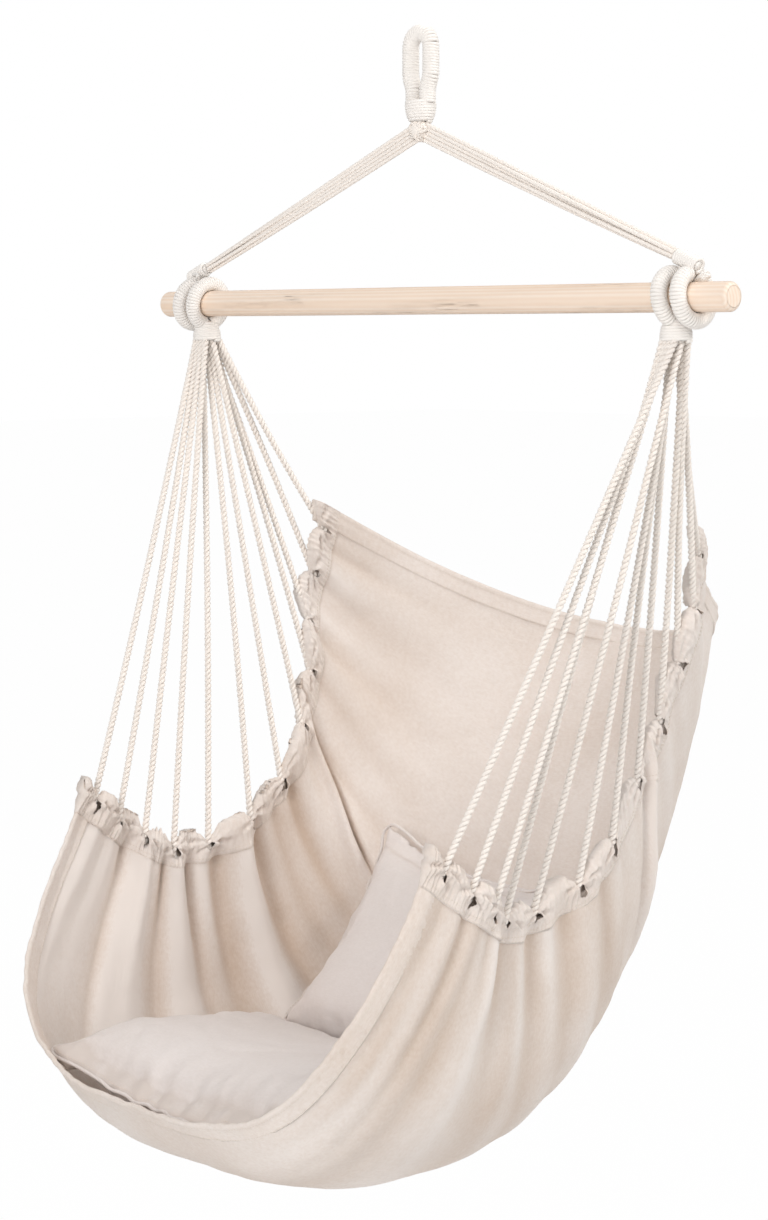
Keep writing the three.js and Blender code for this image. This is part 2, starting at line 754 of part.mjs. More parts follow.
function addCushions(cloth, frontHem) {
  const seat = cushion(seatWidth, seatLength, seatThickness);
  seat.rotateX(seatPitch);
  seat.translate(0, seatCentreY, -barDrop - slingDrop + seatThickness);
  const seatPiece = addPiece("seat_cushion", seat, "cushion");
  restOn(seatPiece, [cloth, frontHem], new THREE.Vector3(0, 0, -1));
  const back = cushion(backWidth, backLength, backThickness);
  back.rotateX(backPitch);
  back.translate(0, backCentreY, -backDrop);
  const backPiece = addPiece("back_cushion", back, "cushion");
  restOn(backPiece, [cloth, seatPiece], new THREE.Vector3(0, Math.sin(backPitch), -Math.cos(backPitch)));
}

// Ends of the serving cord: a frayed tail at the right end and a stopper knot at the left one
function addCordEnds() {
  const root = legEnd(-1);
  root.x += legStubLength / 4;
  root.y -= legStubDiameter / 2 + servingRadius + fit;
  const place = (share) => root.clone().addScaledVector(new THREE.Vector3(...share), tailLength);
  const points = tailShares.map(place);
  const curve = new THREE.CatmullRomCurve3(points);
  addPiece("serving_tail_right", tube(curve.getSpacedPoints(6), servingRadius, 8), "rope");
  const knot = new THREE.SphereGeometry(endKnotRadius, 10, 7);
  const out = harnessLoopX + loopOuter + endKnotRadius + fit;
  knot.translate(out, 0, -barDrop + barDiameter / 2 + endKnotRadius + fit);
  addPiece("serving_knot_left", knot, "rope");
}

addEye();
addThroat();
addBar();
for (const side of [1, -1]) {
  addLegRopes(side, addHarnessLoop(side));
  addSlingLoop(side);
}
const cloth = addCloth();
const frontHem = addHem("front_hem", 0);
addHem("back_hem", 1);
for (const side of [1, -1]) {
  const casing = addCasing(side);
  for (let i = 0; i < fanCordsPerSide; i += 1) addFanCord(side, i, casing);
}
addCushions(cloth, frontHem);
addCordEnds();

export default chair;
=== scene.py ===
"""Hammock chair: rope eye and harness, spreader bar, fanned cords, canvas sling and two cushions.

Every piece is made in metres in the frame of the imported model, dressed, and set on the body it
moves with. The sling's surface follows the same shares as the solid that it replaces.
"""

import logging
import math
from contextlib import contextmanager
from dataclasses import dataclass, field
from enum import Enum
from typing import Callable, Iterator, Sequence

import bmesh
import bpy
import numpy as np
from mathutils import Matrix, Vector, noise


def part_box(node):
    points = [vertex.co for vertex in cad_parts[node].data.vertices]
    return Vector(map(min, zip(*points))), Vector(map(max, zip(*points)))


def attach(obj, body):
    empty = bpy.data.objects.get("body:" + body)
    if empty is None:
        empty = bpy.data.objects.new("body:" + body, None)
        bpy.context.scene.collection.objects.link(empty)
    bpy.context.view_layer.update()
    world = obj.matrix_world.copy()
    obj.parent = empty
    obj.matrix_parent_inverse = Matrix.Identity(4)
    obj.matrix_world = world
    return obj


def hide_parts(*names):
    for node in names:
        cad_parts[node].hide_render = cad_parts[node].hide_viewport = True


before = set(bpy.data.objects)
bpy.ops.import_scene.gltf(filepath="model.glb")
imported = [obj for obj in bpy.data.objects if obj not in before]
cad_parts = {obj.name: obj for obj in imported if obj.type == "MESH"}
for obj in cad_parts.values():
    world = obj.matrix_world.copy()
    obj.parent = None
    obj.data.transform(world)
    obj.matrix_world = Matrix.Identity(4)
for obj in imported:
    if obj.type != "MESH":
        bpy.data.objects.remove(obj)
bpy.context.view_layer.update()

log = logging.getLogger("hammock_chair")
Array = np.ndarray
Socket = bpy.types.NodeSocket
Tree = bpy.types.NodeTree
Piece = bpy.types.Object
Triple = tuple[float, float, float]
Placer = Callable[[Array, Array, Array], Array]
ALONG_Y = np.array([0.0, 1.0, 0.0])
UP = np.array([0.0, 0.0, 1.0])


class Side(Enum):
    """The sitter's two sides; the value is the sign of X."""

    LEFT = 1
    RIGHT = -1

    @property
    def label(self) -> str:
        """The side's name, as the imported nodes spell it."""
        return self.name.lower()


class Body(Enum):
    """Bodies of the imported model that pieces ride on."""

    HANGER = "hanger"
    THROAT = "throat"
    KNOT = "knot"
    HARNESS = "harness"
    BAR = "bar"
    SLING = "sling"
    SEAT_PAD = "seat_pad"
    BACK_PAD = "back_pad"


@dataclass(frozen=True)
class ChairSizes:
    """The sizes that more than one sub-assembly follows."""

    bar_length: float = 0.9
    bar_diameter: float = 0.03
    bar_drop: float = 0.284
    serving: float = 0.0036
    loop_core: float = 0.0094
    loop_tilt: float = math.radians(8.0)
    fit: float = 0.00035
    neck_x: float = 0.375
    neck_length: float = 0.021
    cords: int = 12
    cloth_length: float = 1.18
    casing_depth: float = 0.044

    @property
    def loop_radius(self) -> float:
        """From the bar's middle to a loop's centre line, to a hundredth of a millimetre."""
        outer = self.loop_core / 2 + self.serving + 2 * self.fit
        return round((self.bar_diameter / 2 + outer + self.fit) / math.cos(self.loop_tilt), 5)

    @property
    def neck_foot(self) -> float:
        """Height of the bound necks' feet, where the fans start."""
        return -self.bar_drop - self.loop_radius - self.neck_length


# Shared node groups


class Graph:
    """A node tree that is wired as it is written."""

    def __init__(self, tree: Tree) -> None:
        """Takes the tree that nodes are added to."""
        self.tree = tree

    def node(
        self, kind: str, inputs: dict[str | int, object] | None = None, **settings: object
    ) -> bpy.types.Node:
        """Adds a node.

        Args:
            kind: Its type, without the ShaderNode start.
            inputs: Name or number of an input to what feeds it.
            settings: Its own properties.

        Returns:
            The node.
        """
        made = self.tree.nodes.new(f"ShaderNode{kind}")
        for key, value in settings.items():
            setattr(made, key, value)
        for key, value in (inputs or {}).items():
            self.feed(made.inputs[key], value)
        return made

    def feed(self, end: Socket, value: object) -> None:
        """Links an input to a socket, or sets its value.

        Args:
            end: The input.
            value: A socket, a number or a colour.
        """
        if isinstance(value, Socket):
            self.tree.links.new(value, end)
        else:
            end.default_value = value

    def math(self, operation: str, *values: Socket | float) -> Socket:
        """The output of a math node that up to three sockets or numbers feed."""
        return self.node("Math", dict(enumerate(values)), operation=operation).outputs[0]

    def vector(self, operation: str, inputs: dict[str | int, object]) -> Socket:
        """The output of a vector math node."""
        return self.node("VectorMath", inputs, operation=operation).outputs[0]


class EffectGroup(Graph):
    """A shader node group with named inputs and outputs."""

    def __init__(self, name: str, inputs: dict[str, str | float], outputs: dict[str, str]) -> None:
        """Starts the group.

        Args:
            name: The group's name.
            inputs: Name to its type, or to its starting value where it is a number.
            outputs: Name to its type.
        """
        super().__init__(bpy.data.node_groups.new(name, "ShaderNodeTree"))
        for socket, value in inputs.items():
            kind = value if isinstance(value, str) else "Float"
            sort = f"NodeSocket{kind}"
            made = self.tree.interface.new_socket(socket, in_out="INPUT", socket_type=sort)
            if kind == "Float":
                made.default_value = value
        for socket, kind in outputs.items():
            self.tree.interface.new_socket(socket, in_out="OUTPUT", socket_type=f"NodeSocket{kind}")
        self.given = self.tree.nodes.new("NodeGroupInput").outputs
        self.result = self.tree.nodes.new("NodeGroupOutput").inputs


def weave_group() -> Tree:
    """Plain weave: threads that pass over and under each other, with slubs.

    Returns:
        The group, with a Height output.
    """
    inputs = {"Vector": "Vector", "Threads": 700.0, "Slub": 0.5}
    group = EffectGroup("plain_weave", inputs, {"Height": "Float"})
    place = group.given["Vector"]
    wobble = group.node("TexNoise", {"Vector": place, "Scale": 90.0, "Detail": 2.0})
    offset = group.vector("SCALE", {0: wobble.outputs["Color"], "Scale": 0.0012})
    moved = group.vector("ADD", {0: place, 1: offset})
    counted = group.vector("SCALE", {0: moved, "Scale": group.given["Threads"]})
    thread = group.node("SeparateXYZ", {0: counted}).outputs
    warp, weft = (
        group.math("ABSOLUTE", group.math("SINE", group.math("MULTIPLY", thread[axis], math.pi)))
        for axis in "XY"
    )
    cells = group.math("ADD", group.math("FLOOR", thread["X"]), group.math("FLOOR", thread["Y"]))
    over = group.math("PINGPONG", cells, 1.0)
    crossed = group.math("MULTIPLY", weft, group.math("SUBTRACT", 1.0, over))
    height = group.math("MULTIPLY_ADD", warp, over, crossed)
    stretch = group.vector("MULTIPLY", {0: place, 1: (40.0, 900.0, 40.0)})
    slub = group.node("TexNoise", {"Vector": stretch, "Scale": 1.0, "Detail": 1.0}).outputs["Fac"]
    total = group.math("MULTIPLY_ADD", slub, group.given["Slub"], height)
    group.feed(group.result["Height"], total)
    return group.tree


def tint_group() -> Tree:
    """Slow and fast colour variation between two tones of one cloth, cord or wood, shifted by a Shade input,
    which on cloth carries painted shade and painted light.

    Returns:
        The group, with a Color output.
    """
    inputs = {
        "Vector": "Vector",
        "Tone": "Color",
        "Second Tone": "Color",
        "Slow Scale": 5.0,
        "Fast Scale": 160.0,
        "Amount": 0.5,
        "Shade": 0.0,
    }
    group = EffectGroup("tone_variation", inputs, {"Color": "Color"})
    given = group.given
    slow = group.node("TexNoise", {"Vector": given["Vector"], "Scale": given["Slow Scale"], "Detail": 3.0})
    fast = group.node("TexNoise", {"Vector": given["Vector"], "Scale": given["Fast Scale"], "Detail": 2.0})
    fine = group.math("MULTIPLY", fast.outputs["Fac"], 0.3)
    spread = group.math("MULTIPLY_ADD", slow.outputs["Fac"], 0.7, fine)
    centred = group.math("MULTIPLY", group.math("SUBTRACT", spread, 0.32), 2.6)
    share = group.math("MULTIPLY_ADD", centred, given["Amount"], given["Shade"])
    clamp = group.node("Clamp", {"Value": share}).outputs[0]
    tones = {"Factor": clamp, "A": given["Tone"], "B": given["Second Tone"]}
    group.feed(group.result["Color"], group.node("Mix", tones, data_type="RGBA").outputs["Result"])
    return group.tree


def fibre_group() -> Tree:
    """Fine fibres that run along a strand, from a map in metres along its length.

    Returns:
        The group, with Height and Shade outputs.
    """
    inputs = {"Vector": "Vector", "Fineness": 1.0}
    group = EffectGroup("strand_fibres", inputs, {"Height": "Float", "Shade": "Float"})
    stretch = group.vector("MULTIPLY", {0: group.given["Vector"], 1: (60.0, 420.0, 1.0)})
    fibre = group.node("TexNoise", {"Vector": stretch, "Scale": group.given["Fineness"], "Detail": 4.0})
    height = fibre.outputs["Fac"]
    group.feed(group.result["Height"], height)
    group.feed(group.result["Shade"], group.math("MULTIPLY", group.math("SUBTRACT", height, 0.5), 0.45))
    return group.tree


def crumple_group() -> Tree:
    """Soft creases of handled cloth.

    Returns:
        The group, with a Height output.
    """
    group = EffectGroup("soft_creases", {"Vector": "Vector", "Scale": 24.0}, {"Height": "Float"})
    looks = {"Detail": 5.0, "Roughness": 0.45, "Distortion": 0.6}
    broad = group.node("TexNoise", {"Vector": group.given["Vector"], "Scale": group.given["Scale"], **looks})
    ridge = group.math("ABSOLUTE", group.math("SUBTRACT", broad.outputs["Fac"], 0.5))
    group.feed(group.result["Height"], group.math("POWER", group.math("MULTIPLY", ridge, 2.0), 0.7))
    return group.tree


@dataclass
class Groups:
    """The node groups that more than one finish uses."""

    weave: Tree = field(default_factory=weave_group)
    tint: Tree = field(default_factory=tint_group)
    fibre: Tree = field(default_factory=fibre_group)
    crumple: Tree = field(default_factory=crumple_group)


# Finishes


class Shader(Graph):
    """A material with one Principled BSDF, and helpers to wire what feeds it."""

    def __init__(self, name: str, roughness: float, sheen: float = 0.0, coat: float = 0.0) -> None:
        """Starts the material.

        Args:
            name: Its name.
            roughness: Plain roughness.
            sheen: Sheen weight.
            coat: Coat weight.
        """
        self.material = bpy.data.materials.new(name)
        self.material.use_nodes = True
        super().__init__(self.material.node_tree)
        self.surface = self.tree.nodes["Principled BSDF"].inputs
        self.surface["Roughness"].default_value = roughness
        self.surface["Sheen Weight"].default_value = sheen
        self.surface["Sheen Roughness"].default_value = 0.6
        self.surface["Coat Weight"].default_value = coat
        self.surface["Coat Roughness"].default_value = 0.3
        self.surface["Specular IOR Level"].default_value = 0.25
        self.place = self.node("TexCoord").outputs

    def group(self, tree: Tree, **inputs: object) -> bpy.types.Node:
        """Places a node group, whose inputs are named with underscores for spaces."""
        named = {key.replace("_", " "): value for key, value in inputs.items()}
        return self.node("Group", named, node_tree=tree)

    def bump(self, *layers: tuple[Socket, float, float]) -> None:
        """Chains bumps and feeds the normal.

        Args:
            layers: Height socket, strength and distance in metres of each bump.
        """
        last: dict[str, Socket] = {}
        for height, strength, distance in layers:
            values = {"Height": height, "Strength": strength, "Distance": distance}
            last = {"Normal": self.node("Bump", values | last).outputs["Normal"]}
        self.feed(self.surface["Normal"], last["Normal"])


@dataclass(frozen=True)
class Finish:
    """A material in two tones of one colour."""

    name: str
    tone: Triple
    second: Triple

    def colour(
        self, shader: Shader, groups: Groups, place: Socket, shade: Socket, scales: Sequence[float]
    ) -> None:
        """Feeds the base colour with the two tones, mixed by noise and a shade.

        Args:
            shader: The material.
            groups: The node groups.
            place: Where the noise is read.
            shade: How much more of the second tone there is; on cloth this includes painted shade and painted
                light.
            scales: Scale of the slow and of the fast noise, and the amount of both.
        """
        tint = shader.group(
            groups.tint,
            Vector=place,
            Tone=(*self.tone, 1.0),
            Second_Tone=(*self.second, 1.0),
            Slow_Scale=scales[0],
            Fast_Scale=scales[1],
            Amount=scales[2],
            Shade=shade,
        )
        shader.feed(shader.surface["Base Color"], tint.outputs["Color"])


@dataclass(frozen=True)
class ClothFinish(Finish):
    """A plain-weave cotton cloth; its point attribute paints shade into folds, creases and recesses as more
    of the darker second tone, paints light as less of it, and gives the cushions' flat border a darker tone.
    """

    threads: float
    crease: float
    slub: float = 0.5

    def make(self, groups: Groups) -> bpy.types.Material:
        """Builds the material.

        Args:
            groups: The node groups.

        Returns:
            The material.
        """
        shader = Shader(self.name, roughness=0.9, sheen=0.12)
        own_map, place = shader.place["UV"], shader.place["Object"]
        thread = shader.group(groups.fibre, Vector=own_map, Fineness=2.0)
        # Painted shade and painted light from the point attribute, added to the fibres' own tone variation.
        folds = shader.node("Attribute", attribute_name="fold_shade")
        shade = shader.math("ADD", thread.outputs["Shade"], folds.outputs["Fac"])
        self.colour(shader, groups, place, shade, (6.0, 240.0, 0.55))
        weave = shader.group(groups.weave, Vector=own_map, Threads=self.threads, Slub=self.slub)
        crease = shader.group(groups.crumple, Vector=place, Scale=self.crease)
        shader.bump((crease.outputs["Height"], 0.25, 0.004), (weave.outputs["Height"], 0.55, 0.0004))
        return shader.material


@dataclass(frozen=True)
class CordFinish(Finish):
    """Twisted cotton cord, with fine fibres along its strands."""

    def make(self, groups: Groups) -> bpy.types.Material:
        """Builds the material.

        Args:
            groups: The node groups.

        Returns:
            The material.
        """
        shader = Shader(self.name, roughness=0.88, sheen=0.25)
        fibre = shader.group(groups.fibre, Vector=shader.place["UV"], Fineness=3.0).outputs
        self.colour(shader, groups, shader.place["Object"], fibre["Shade"], (14.0, 260.0, 0.3))
        shader.bump((fibre["Height"], 0.08, 0.0004))
        return shader.material


@dataclass(frozen=True)
class WoodFinish(Finish):
    """Pale straight-grained softwood, turned round and lightly coated."""

    grain_scale: Triple = (1.2, 26.0, 26.0)
    heart: Triple = (0.0, 0.55, 7.5)
    pore_scale: Triple = (14.0, 900.0, 900.0)

    def make(self, groups: Groups) -> bpy.types.Material:
        """Builds the material.

        Args:
            groups: The node groups.

        Returns:
            The material.
        """
        shader = Shader(self.name, roughness=0.5, coat=0.08)
        place = shader.place["Object"]
        around = {"Vector": place, "Scale": self.grain_scale, "Location": self.heart}
        grain = shader.node("Mapping", around).outputs["Vector"]
        looks = {"Vector": grain, "Scale": 2.6, "Distortion": 2.2, "Detail": 2.0, "Detail Scale": 0.7}
        rings = shader.node("TexWave", looks, wave_type="RINGS", rings_direction="X")
        shade = shader.math("MULTIPLY_ADD", rings.outputs["Fac"], 0.55, -0.12)
        self.colour(shader, groups, grain, shade, (1.6, 9.0, 0.4))
        streak = shader.node("Mapping", {"Vector": place, "Scale": self.pore_scale}).outputs["Vector"]
        pores = shader.node("TexNoise", {"Vector": streak, "Scale": 1.0, "Detail": 3.0})
        shader.bump((pores.outputs["Fac"], 0.12, 0.0003))
        return shader.material


@dataclass
class Finishes:
    """Every material of the object, made once."""

    groups: Groups = field(default_factory=Groups)

    def __post_init__(self) -> None:
        """Builds the materials."""
        # Both cloths' second tones serve as their random darker tone and also as the colour of the painted
        # shade that the point attribute adds: in the sling's folds, crease and casing insides, and in the
        # cushions' gathers and seam grooves.
        canvas = ClothFinish("undyed_canvas", (0.895, 0.82, 0.768), (0.655, 0.52, 0.42), 1000.0, 14.0)
        cover = ClothFinish("cushion_cotton", (0.865, 0.80, 0.772), (0.72, 0.64, 0.59), 1150.0, 20.0, 0.3)
        cord = CordFinish("cotton_cord", (0.945, 0.88, 0.82), (0.88, 0.80, 0.73))
        serving = CordFinish("serving_cord", (0.94, 0.90, 0.86), (0.84, 0.79, 0.735))
        thread = CordFinish("sewing_thread", (0.80, 0.71, 0.63), (0.70, 0.60, 0.51))
        pine = WoodFinish("pale_pine", (0.94, 0.81, 0.695), (0.86, 0.66, 0.50))
        self.canvas, self.cover = canvas.make(self.groups), cover.make(self.groups)
        self.cord, self.serving = cord.make(self.groups), serving.make(self.groups)
        self.thread, self.pine = thread.make(self.groups), pine.make(self.groups)


# Mesh helpers


def deselect() -> None:
    """Clears the selection, since operators act on all that is selected."""
    if bpy.context.object is not None and bpy.context.object.mode != "OBJECT":
        bpy.ops.object.mode_set(mode="OBJECT")
    bpy.ops.object.select_all(action="DESELECT")


def take(obj: Piece) -> None:
    """Selects one object alone and makes it active.

    Args:
        obj: The object.
    """
    deselect()
    obj.select_set(True)
    bpy.context.view_layer.objects.active = obj


def settled() -> Piece:
    """The object just added, with its place, turn and scale put into its mesh."""
    bpy.ops.object.transform_apply(location=True, rotation=True, scale=True)
    return bpy.context.object


def apply_modifier(obj: Piece, kind: str, **settings: object) -> None:
    """Adds a modifier and applies it.

    Args:
        obj: The object.
        kind: The modifier's type.
        settings: Its properties.
    """
    take(obj)
    modifier = obj.modifiers.new(kind.lower(), kind)
    for key, value in settings.items():
        setattr(modifier, key, value)
    bpy.ops.object.modifier_apply(modifier=modifier.name)


def positions(obj: Piece, kind: str = "co") -> Array:
    """The points of a mesh, or what else it holds for them.

    Args:
        obj: The object.
        kind: "co" for the points and "normal" for their outward directions.

    Returns:
        Rows of three numbers.
    """
    rows = np.empty(len(obj.data.vertices) * 3)
    obj.data.vertices.foreach_get(kind, rows)
    return rows.reshape(-1, 3)


def place_points(obj: Piece, points: Array) -> None:
    """Writes the mesh's points back."""
    obj.data.vertices.foreach_set("co", np.ascontiguousarray(points, dtype=np.float64).ravel())
    obj.data.update()


def set_map(mesh: bpy.types.Mesh, maps: Array) -> None:
    """Writes a mesh's own map.

    Args:
        mesh: The mesh.
        maps: A pair of numbers per point or per face corner.
    """
    corner = np.empty(len(mesh.loops), dtype=np.int64)
    mesh.loops.foreach_get("vertex_index", corner)
    layer = mesh.uv_layers.active or mesh.uv_layers.new(name="UVMap")
    layer.data.foreach_set("uv", (maps if len(maps) == len(corner) else maps[corner]).ravel())


def set_shade(obj: Piece, warmth: Array) -> None:
    """Writes per-point painted shade, a share of the darker second tone that the finish reads; values below 0
    paint light, and on the cushions it also holds the flat border's darker tone.
    """
    shade = obj.data.attributes.new("fold_shade", "FLOAT", "POINT")
    shade.data.foreach_set("value", warmth.astype(np.float32))


def mesh_object(name: str, points: Array, faces: list, maps: Array) -> Piece:
    """A mesh object from points and faces, for cords and cloth that follow a formula.

    Args:
        name: Its name.
        points: Rows of three numbers, in metres.
        faces: Rows of point numbers.
        maps: A pair of numbers per point or per face corner.

    Returns:
        The object, smooth shaded.
    """
    mesh = bpy.data.meshes.new(name)
    mesh.from_pydata([tuple(p) for p in points.tolist()], [], [tuple(f) for f in faces])
    set_map(mesh, maps)
    mesh.polygons.foreach_set("use_smooth", np.ones(len(mesh.polygons), dtype=bool))
    obj = bpy.data.objects.new(name, mesh)
    bpy.context.scene.collection.objects.link(obj)
    return obj


@contextmanager
def edited(obj: Piece) -> Iterator[bmesh.types.BMesh]:
    """Opens an object's mesh for a change of its faces, and writes it back.

    Args:
        obj: The object.

    Returns:
        The opened mesh.
    """
    mesh = bmesh.new()
    mesh.from_mesh(obj.data)
    yield mesh
    mesh.to_mesh(obj.data)
    mesh.free()


def join_meshes(name: str, parts: Sequence[Piece]) -> Piece:
    """Joins finished pieces into one.

    Args:
        name: Its name.
        parts: The pieces.

    Returns:
        The joined object.
    """
    take(parts[0])
    for part in parts[1:]:
        part.select_set(True)
    bpy.ops.object.join()
    joined = bpy.context.view_layer.objects.active
    joined.name = name
    joined.data.name = name
    return joined


def finish_piece(
    obj: Piece,
    material: bpy.types.Material,
    body: Body,
    replaced: Sequence[str] = (),
) -> Piece:
    """Dresses a piece and sets it on its body.

    Args:
        obj: The piece.
        material: Its only material.
        body: The body that it rides on.
        replaced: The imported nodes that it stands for.

    Returns:
        The piece.
    """
    obj.data.materials.clear()
    obj.data.materials.append(material)
    if replaced:
        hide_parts(*replaced)
    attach(obj, body.value)
    log.info("%s: %d faces on %s", obj.name, len(obj.data.polygons), body.value)
    return obj


# Numbers and curves


def unit(rows: Array) -> Array:
    """Rows scaled to length one."""
    return rows / np.maximum(np.linalg.norm(rows, axis=-1, keepdims=True), 1e-12)


def ramp(value: Array, low: float, high: float) -> Array:
    """0 below low, 1 above high and a straight rise between."""
    return np.clip((value - low) / (high - low), 0, 1)


def smooth(value: Array, low: float = 0.0, high: float = 1.0) -> Array:
    """0 below low, 1 above high and a soft rise between."""
    share = ramp(value, low, high)
    return share * share * (3 - 2 * share)


def bell(away: Array, width: Array | float, power: float = 2.0) -> Array:
    """1 in the middle, falling to nothing on both sides over a width."""
    return np.exp(-(np.abs(away / width) ** power))


def noises(places: Array) -> Array:
    """Soft noise at rows of three numbers."""
    return np.array([noise.noise(Vector(place)) for place in places])


def uniform_curve(shares: Sequence[Sequence[float]], t: Array) -> Array:
    """Points of a uniform Catmull-Rom curve.

    Args:
        shares: The points that it goes through.
        t: Places along it, from 0 to 1.

    Returns:
        The points at those places.
    """
    knots = np.asarray(shares, dtype=float)
    last = len(knots) - 1
    place = np.clip(np.asarray(t, dtype=float), 0.0, 1.0) * last
    index = np.minimum(place.astype(int), last - 1)
    w = (place - index)[..., None]
    padded = np.vstack([2 * knots[0] - knots[1], knots, 2 * knots[-1] - knots[-2]])
    a, b, c, d = (padded[index + k] for k in range(4))
    start, end = (c - a) / 2, (d - b) / 2
    return b + start * w + (3 * (c - b) - 2 * start - end) * w**2 + (2 * (b - c) + start + end) * w**3


def eased(values: Array, place: Array) -> Array:
    """Values met one after another at whole numbers of place, with a smooth change between."""
    low = np.clip(np.floor(place), 0, len(values) - 2).astype(int)
    return values[low] + (values[low + 1] - values[low]) * smooth(place - low)


def lengths_along(path: Array) -> Array:
    """Length of a path up to each of its points."""
    return np.concatenate([[0.0], np.cumsum(np.linalg.norm(np.diff(path, axis=0), axis=1))])


def sampled(rows: Array, lengths: Array, where: Array) -> Array:
    """Rows of three numbers, read between those that are given at the lengths."""
    return np.stack([np.interp(where, lengths, rows[:, k]) for k in range(3)], axis=1)


def respaced(path: Array, step: float) -> Array:
    """A path with its points evenly apart.

    Args:
        path: The path's points.
        step: About how far apart they are wanted.

    Returns:
        The new points.
    """
    lengths = lengths_along(path)
    count = max(2, int(round(lengths[-1] / step)) + 1)
    return sampled(path, lengths, np.linspace(0.0, lengths[-1], count))


def carried_frames(path: Array, closed: bool) -> tuple[Array, Array, Array]:
    """Tangents and two square directions carried along a path without twist.

    Args:
        path: The path's points.
        closed: Whether the last point joins the first.

    Returns:
        Tangents, normals and binormals.
    """
    if closed:
        tangents = unit(np.roll(path, -1, axis=0) - np.roll(path, 1, axis=0))
    else:
        tangents = unit(np.gradient(path, axis=0))
    normal = ALONG_Y if abs(tangents[0][1]) < 0.9 else np.array([1.0, 0.0, 0.0])
    normals = np.empty_like(tangents)
    for index, tangent in enumerate(tangents):
        normal = normal - tangent * normal.dot(tangent)
        normal = normal / np.linalg.norm(normal)
        normals[index] = normal
    return tangents, normals, np.cross(tangents, normals)


def ring_faces(index: Array, inside_out: bool = False) -> list[list[int]]:
    """Four-cornered faces between rings of points.

    Args:
        index: Point numbers, a row for each ring.
        inside_out: Whether the faces run the other way round.

    Returns:
        Rows of point numbers.
    """
    beside = np.roll(index, -1, axis=1)
    second, last = (index[1:], beside[:-1]) if inside_out else (beside[:-1], index[1:])
    return np.stack([index[:-1], second, beside[1:], last], axis=-1).reshape(-1, 4).tolist()


def rotation(angle: float, axis: str) -> Array:
    """The matrix of a turn about one axis."""
    return np.array(Matrix.Rotation(angle, 3, axis))


@dataclass(frozen=True)
class Rope:
    """A laid rope: strands twisted together, as one closed tube with a lobed section."""

    diameter: float
    lay: float
    strands: int = 3
    steps_per_lay: int = 10
    depth: float = 0.42
    map_width: float = 0.012

    @property
    def step(self) -> float:
        """From one ring of points to the next."""
        return self.lay / self.steps_per_lay

    def section(self) -> Array:
        """Radii of the lobed section, four to a strand."""
        flank = 1.0 - 0.3 * self.depth
        return np.tile([1.0, flank, 1.0 - self.depth, flank], self.strands) * self.diameter / 2

    def turns(self, count: int, closed: bool) -> Array:
        """How far the section has turned at each ring; a closed rope keeps to whole turns.

        Args:
            count: Number of rings.
            closed: Whether the rope joins its own start.

        Returns:
            Angles, one for each ring.
        """
        if closed:
            whole = max(1, round(count / self.steps_per_lay)) * 2 * np.pi
            return np.linspace(0.0, whole, count, endpoint=False)
        return 2 * np.pi * np.arange(count) / self.steps_per_lay

    def tube(self, name: str, path: Array, closed: bool = False, taper: Sequence[float] = (1, 1)) -> Piece:
        """The rope along a path.

        Args:
            name: Name of the piece.
            path: Points in metres.
            closed: Whether it joins its own start.
            taper: Shares of the radius along the path.

        Returns:
            The rope as a mesh object, with a map of metres along it.
        """
        points = respaced(path, self.step)
        if closed:
            points = points[:-1]
        _, normals, binormals = carried_frames(points, closed)
        radii = self.section()
        count, sides = len(points), len(radii)
        angle = self.turns(count, closed)[:, None] + 2 * np.pi * np.arange(sides)[None, :] / sides
        shares = np.interp(np.linspace(0, 1, count), np.linspace(0, 1, len(taper)), taper)
        size = (radii[None, :] * shares[:, None])[..., None]
        outward = np.cos(angle)[..., None] * normals[:, None] + np.sin(angle)[..., None] * binormals[:, None]
        rings = points[:, None] + outward * size
        index = np.arange(count * sides).reshape(count, sides)
        if closed:
            index = np.vstack([index, index[:1]])
        faces = ring_faces(index)
        ring, side = np.meshgrid(np.arange(len(index) - 1), np.arange(sides), indexing="ij")
        corners = [
            np.stack([(ring + a) * self.step, (side + b) / sides * self.map_width], axis=-1)
            for a, b in ((0, 0), (0, 1), (1, 1), (1, 0))
        ]
        maps = np.stack(corners, axis=2).reshape(-1, 2)
        if not closed:
            faces += [index[0][::-1].tolist(), index[-1].tolist()]
            maps = np.vstack([maps, np.zeros((2 * sides, 2))])
        return mesh_object(name, rings.reshape(-1, 3), faces, maps)


def wound_line(path: Array, side: Array, radius: float, pitch: float, steps: int = 14) -> Array:
    """Centre line of a cord wound closely round a rope.

    Args:
        path: The rope's centre line.
        side: A direction square to the plane or line of the rope.
        radius: From the rope's centre line to the cord's.
        pitch: From one turn to the next along the rope.
        steps: Points in a turn.

    Returns:
        The cord's centre line.
    """
    fine = respaced(path, pitch / steps)
    tangents, _, _ = carried_frames(fine, False)
    out = unit(np.cross(tangents, side))
    up = unit(np.cross(out, tangents))
    turn = 2 * np.pi * np.arange(len(fine))[:, None] / steps
    return fine + radius * (np.cos(turn) * out + np.sin(turn) * up)


# Rope work


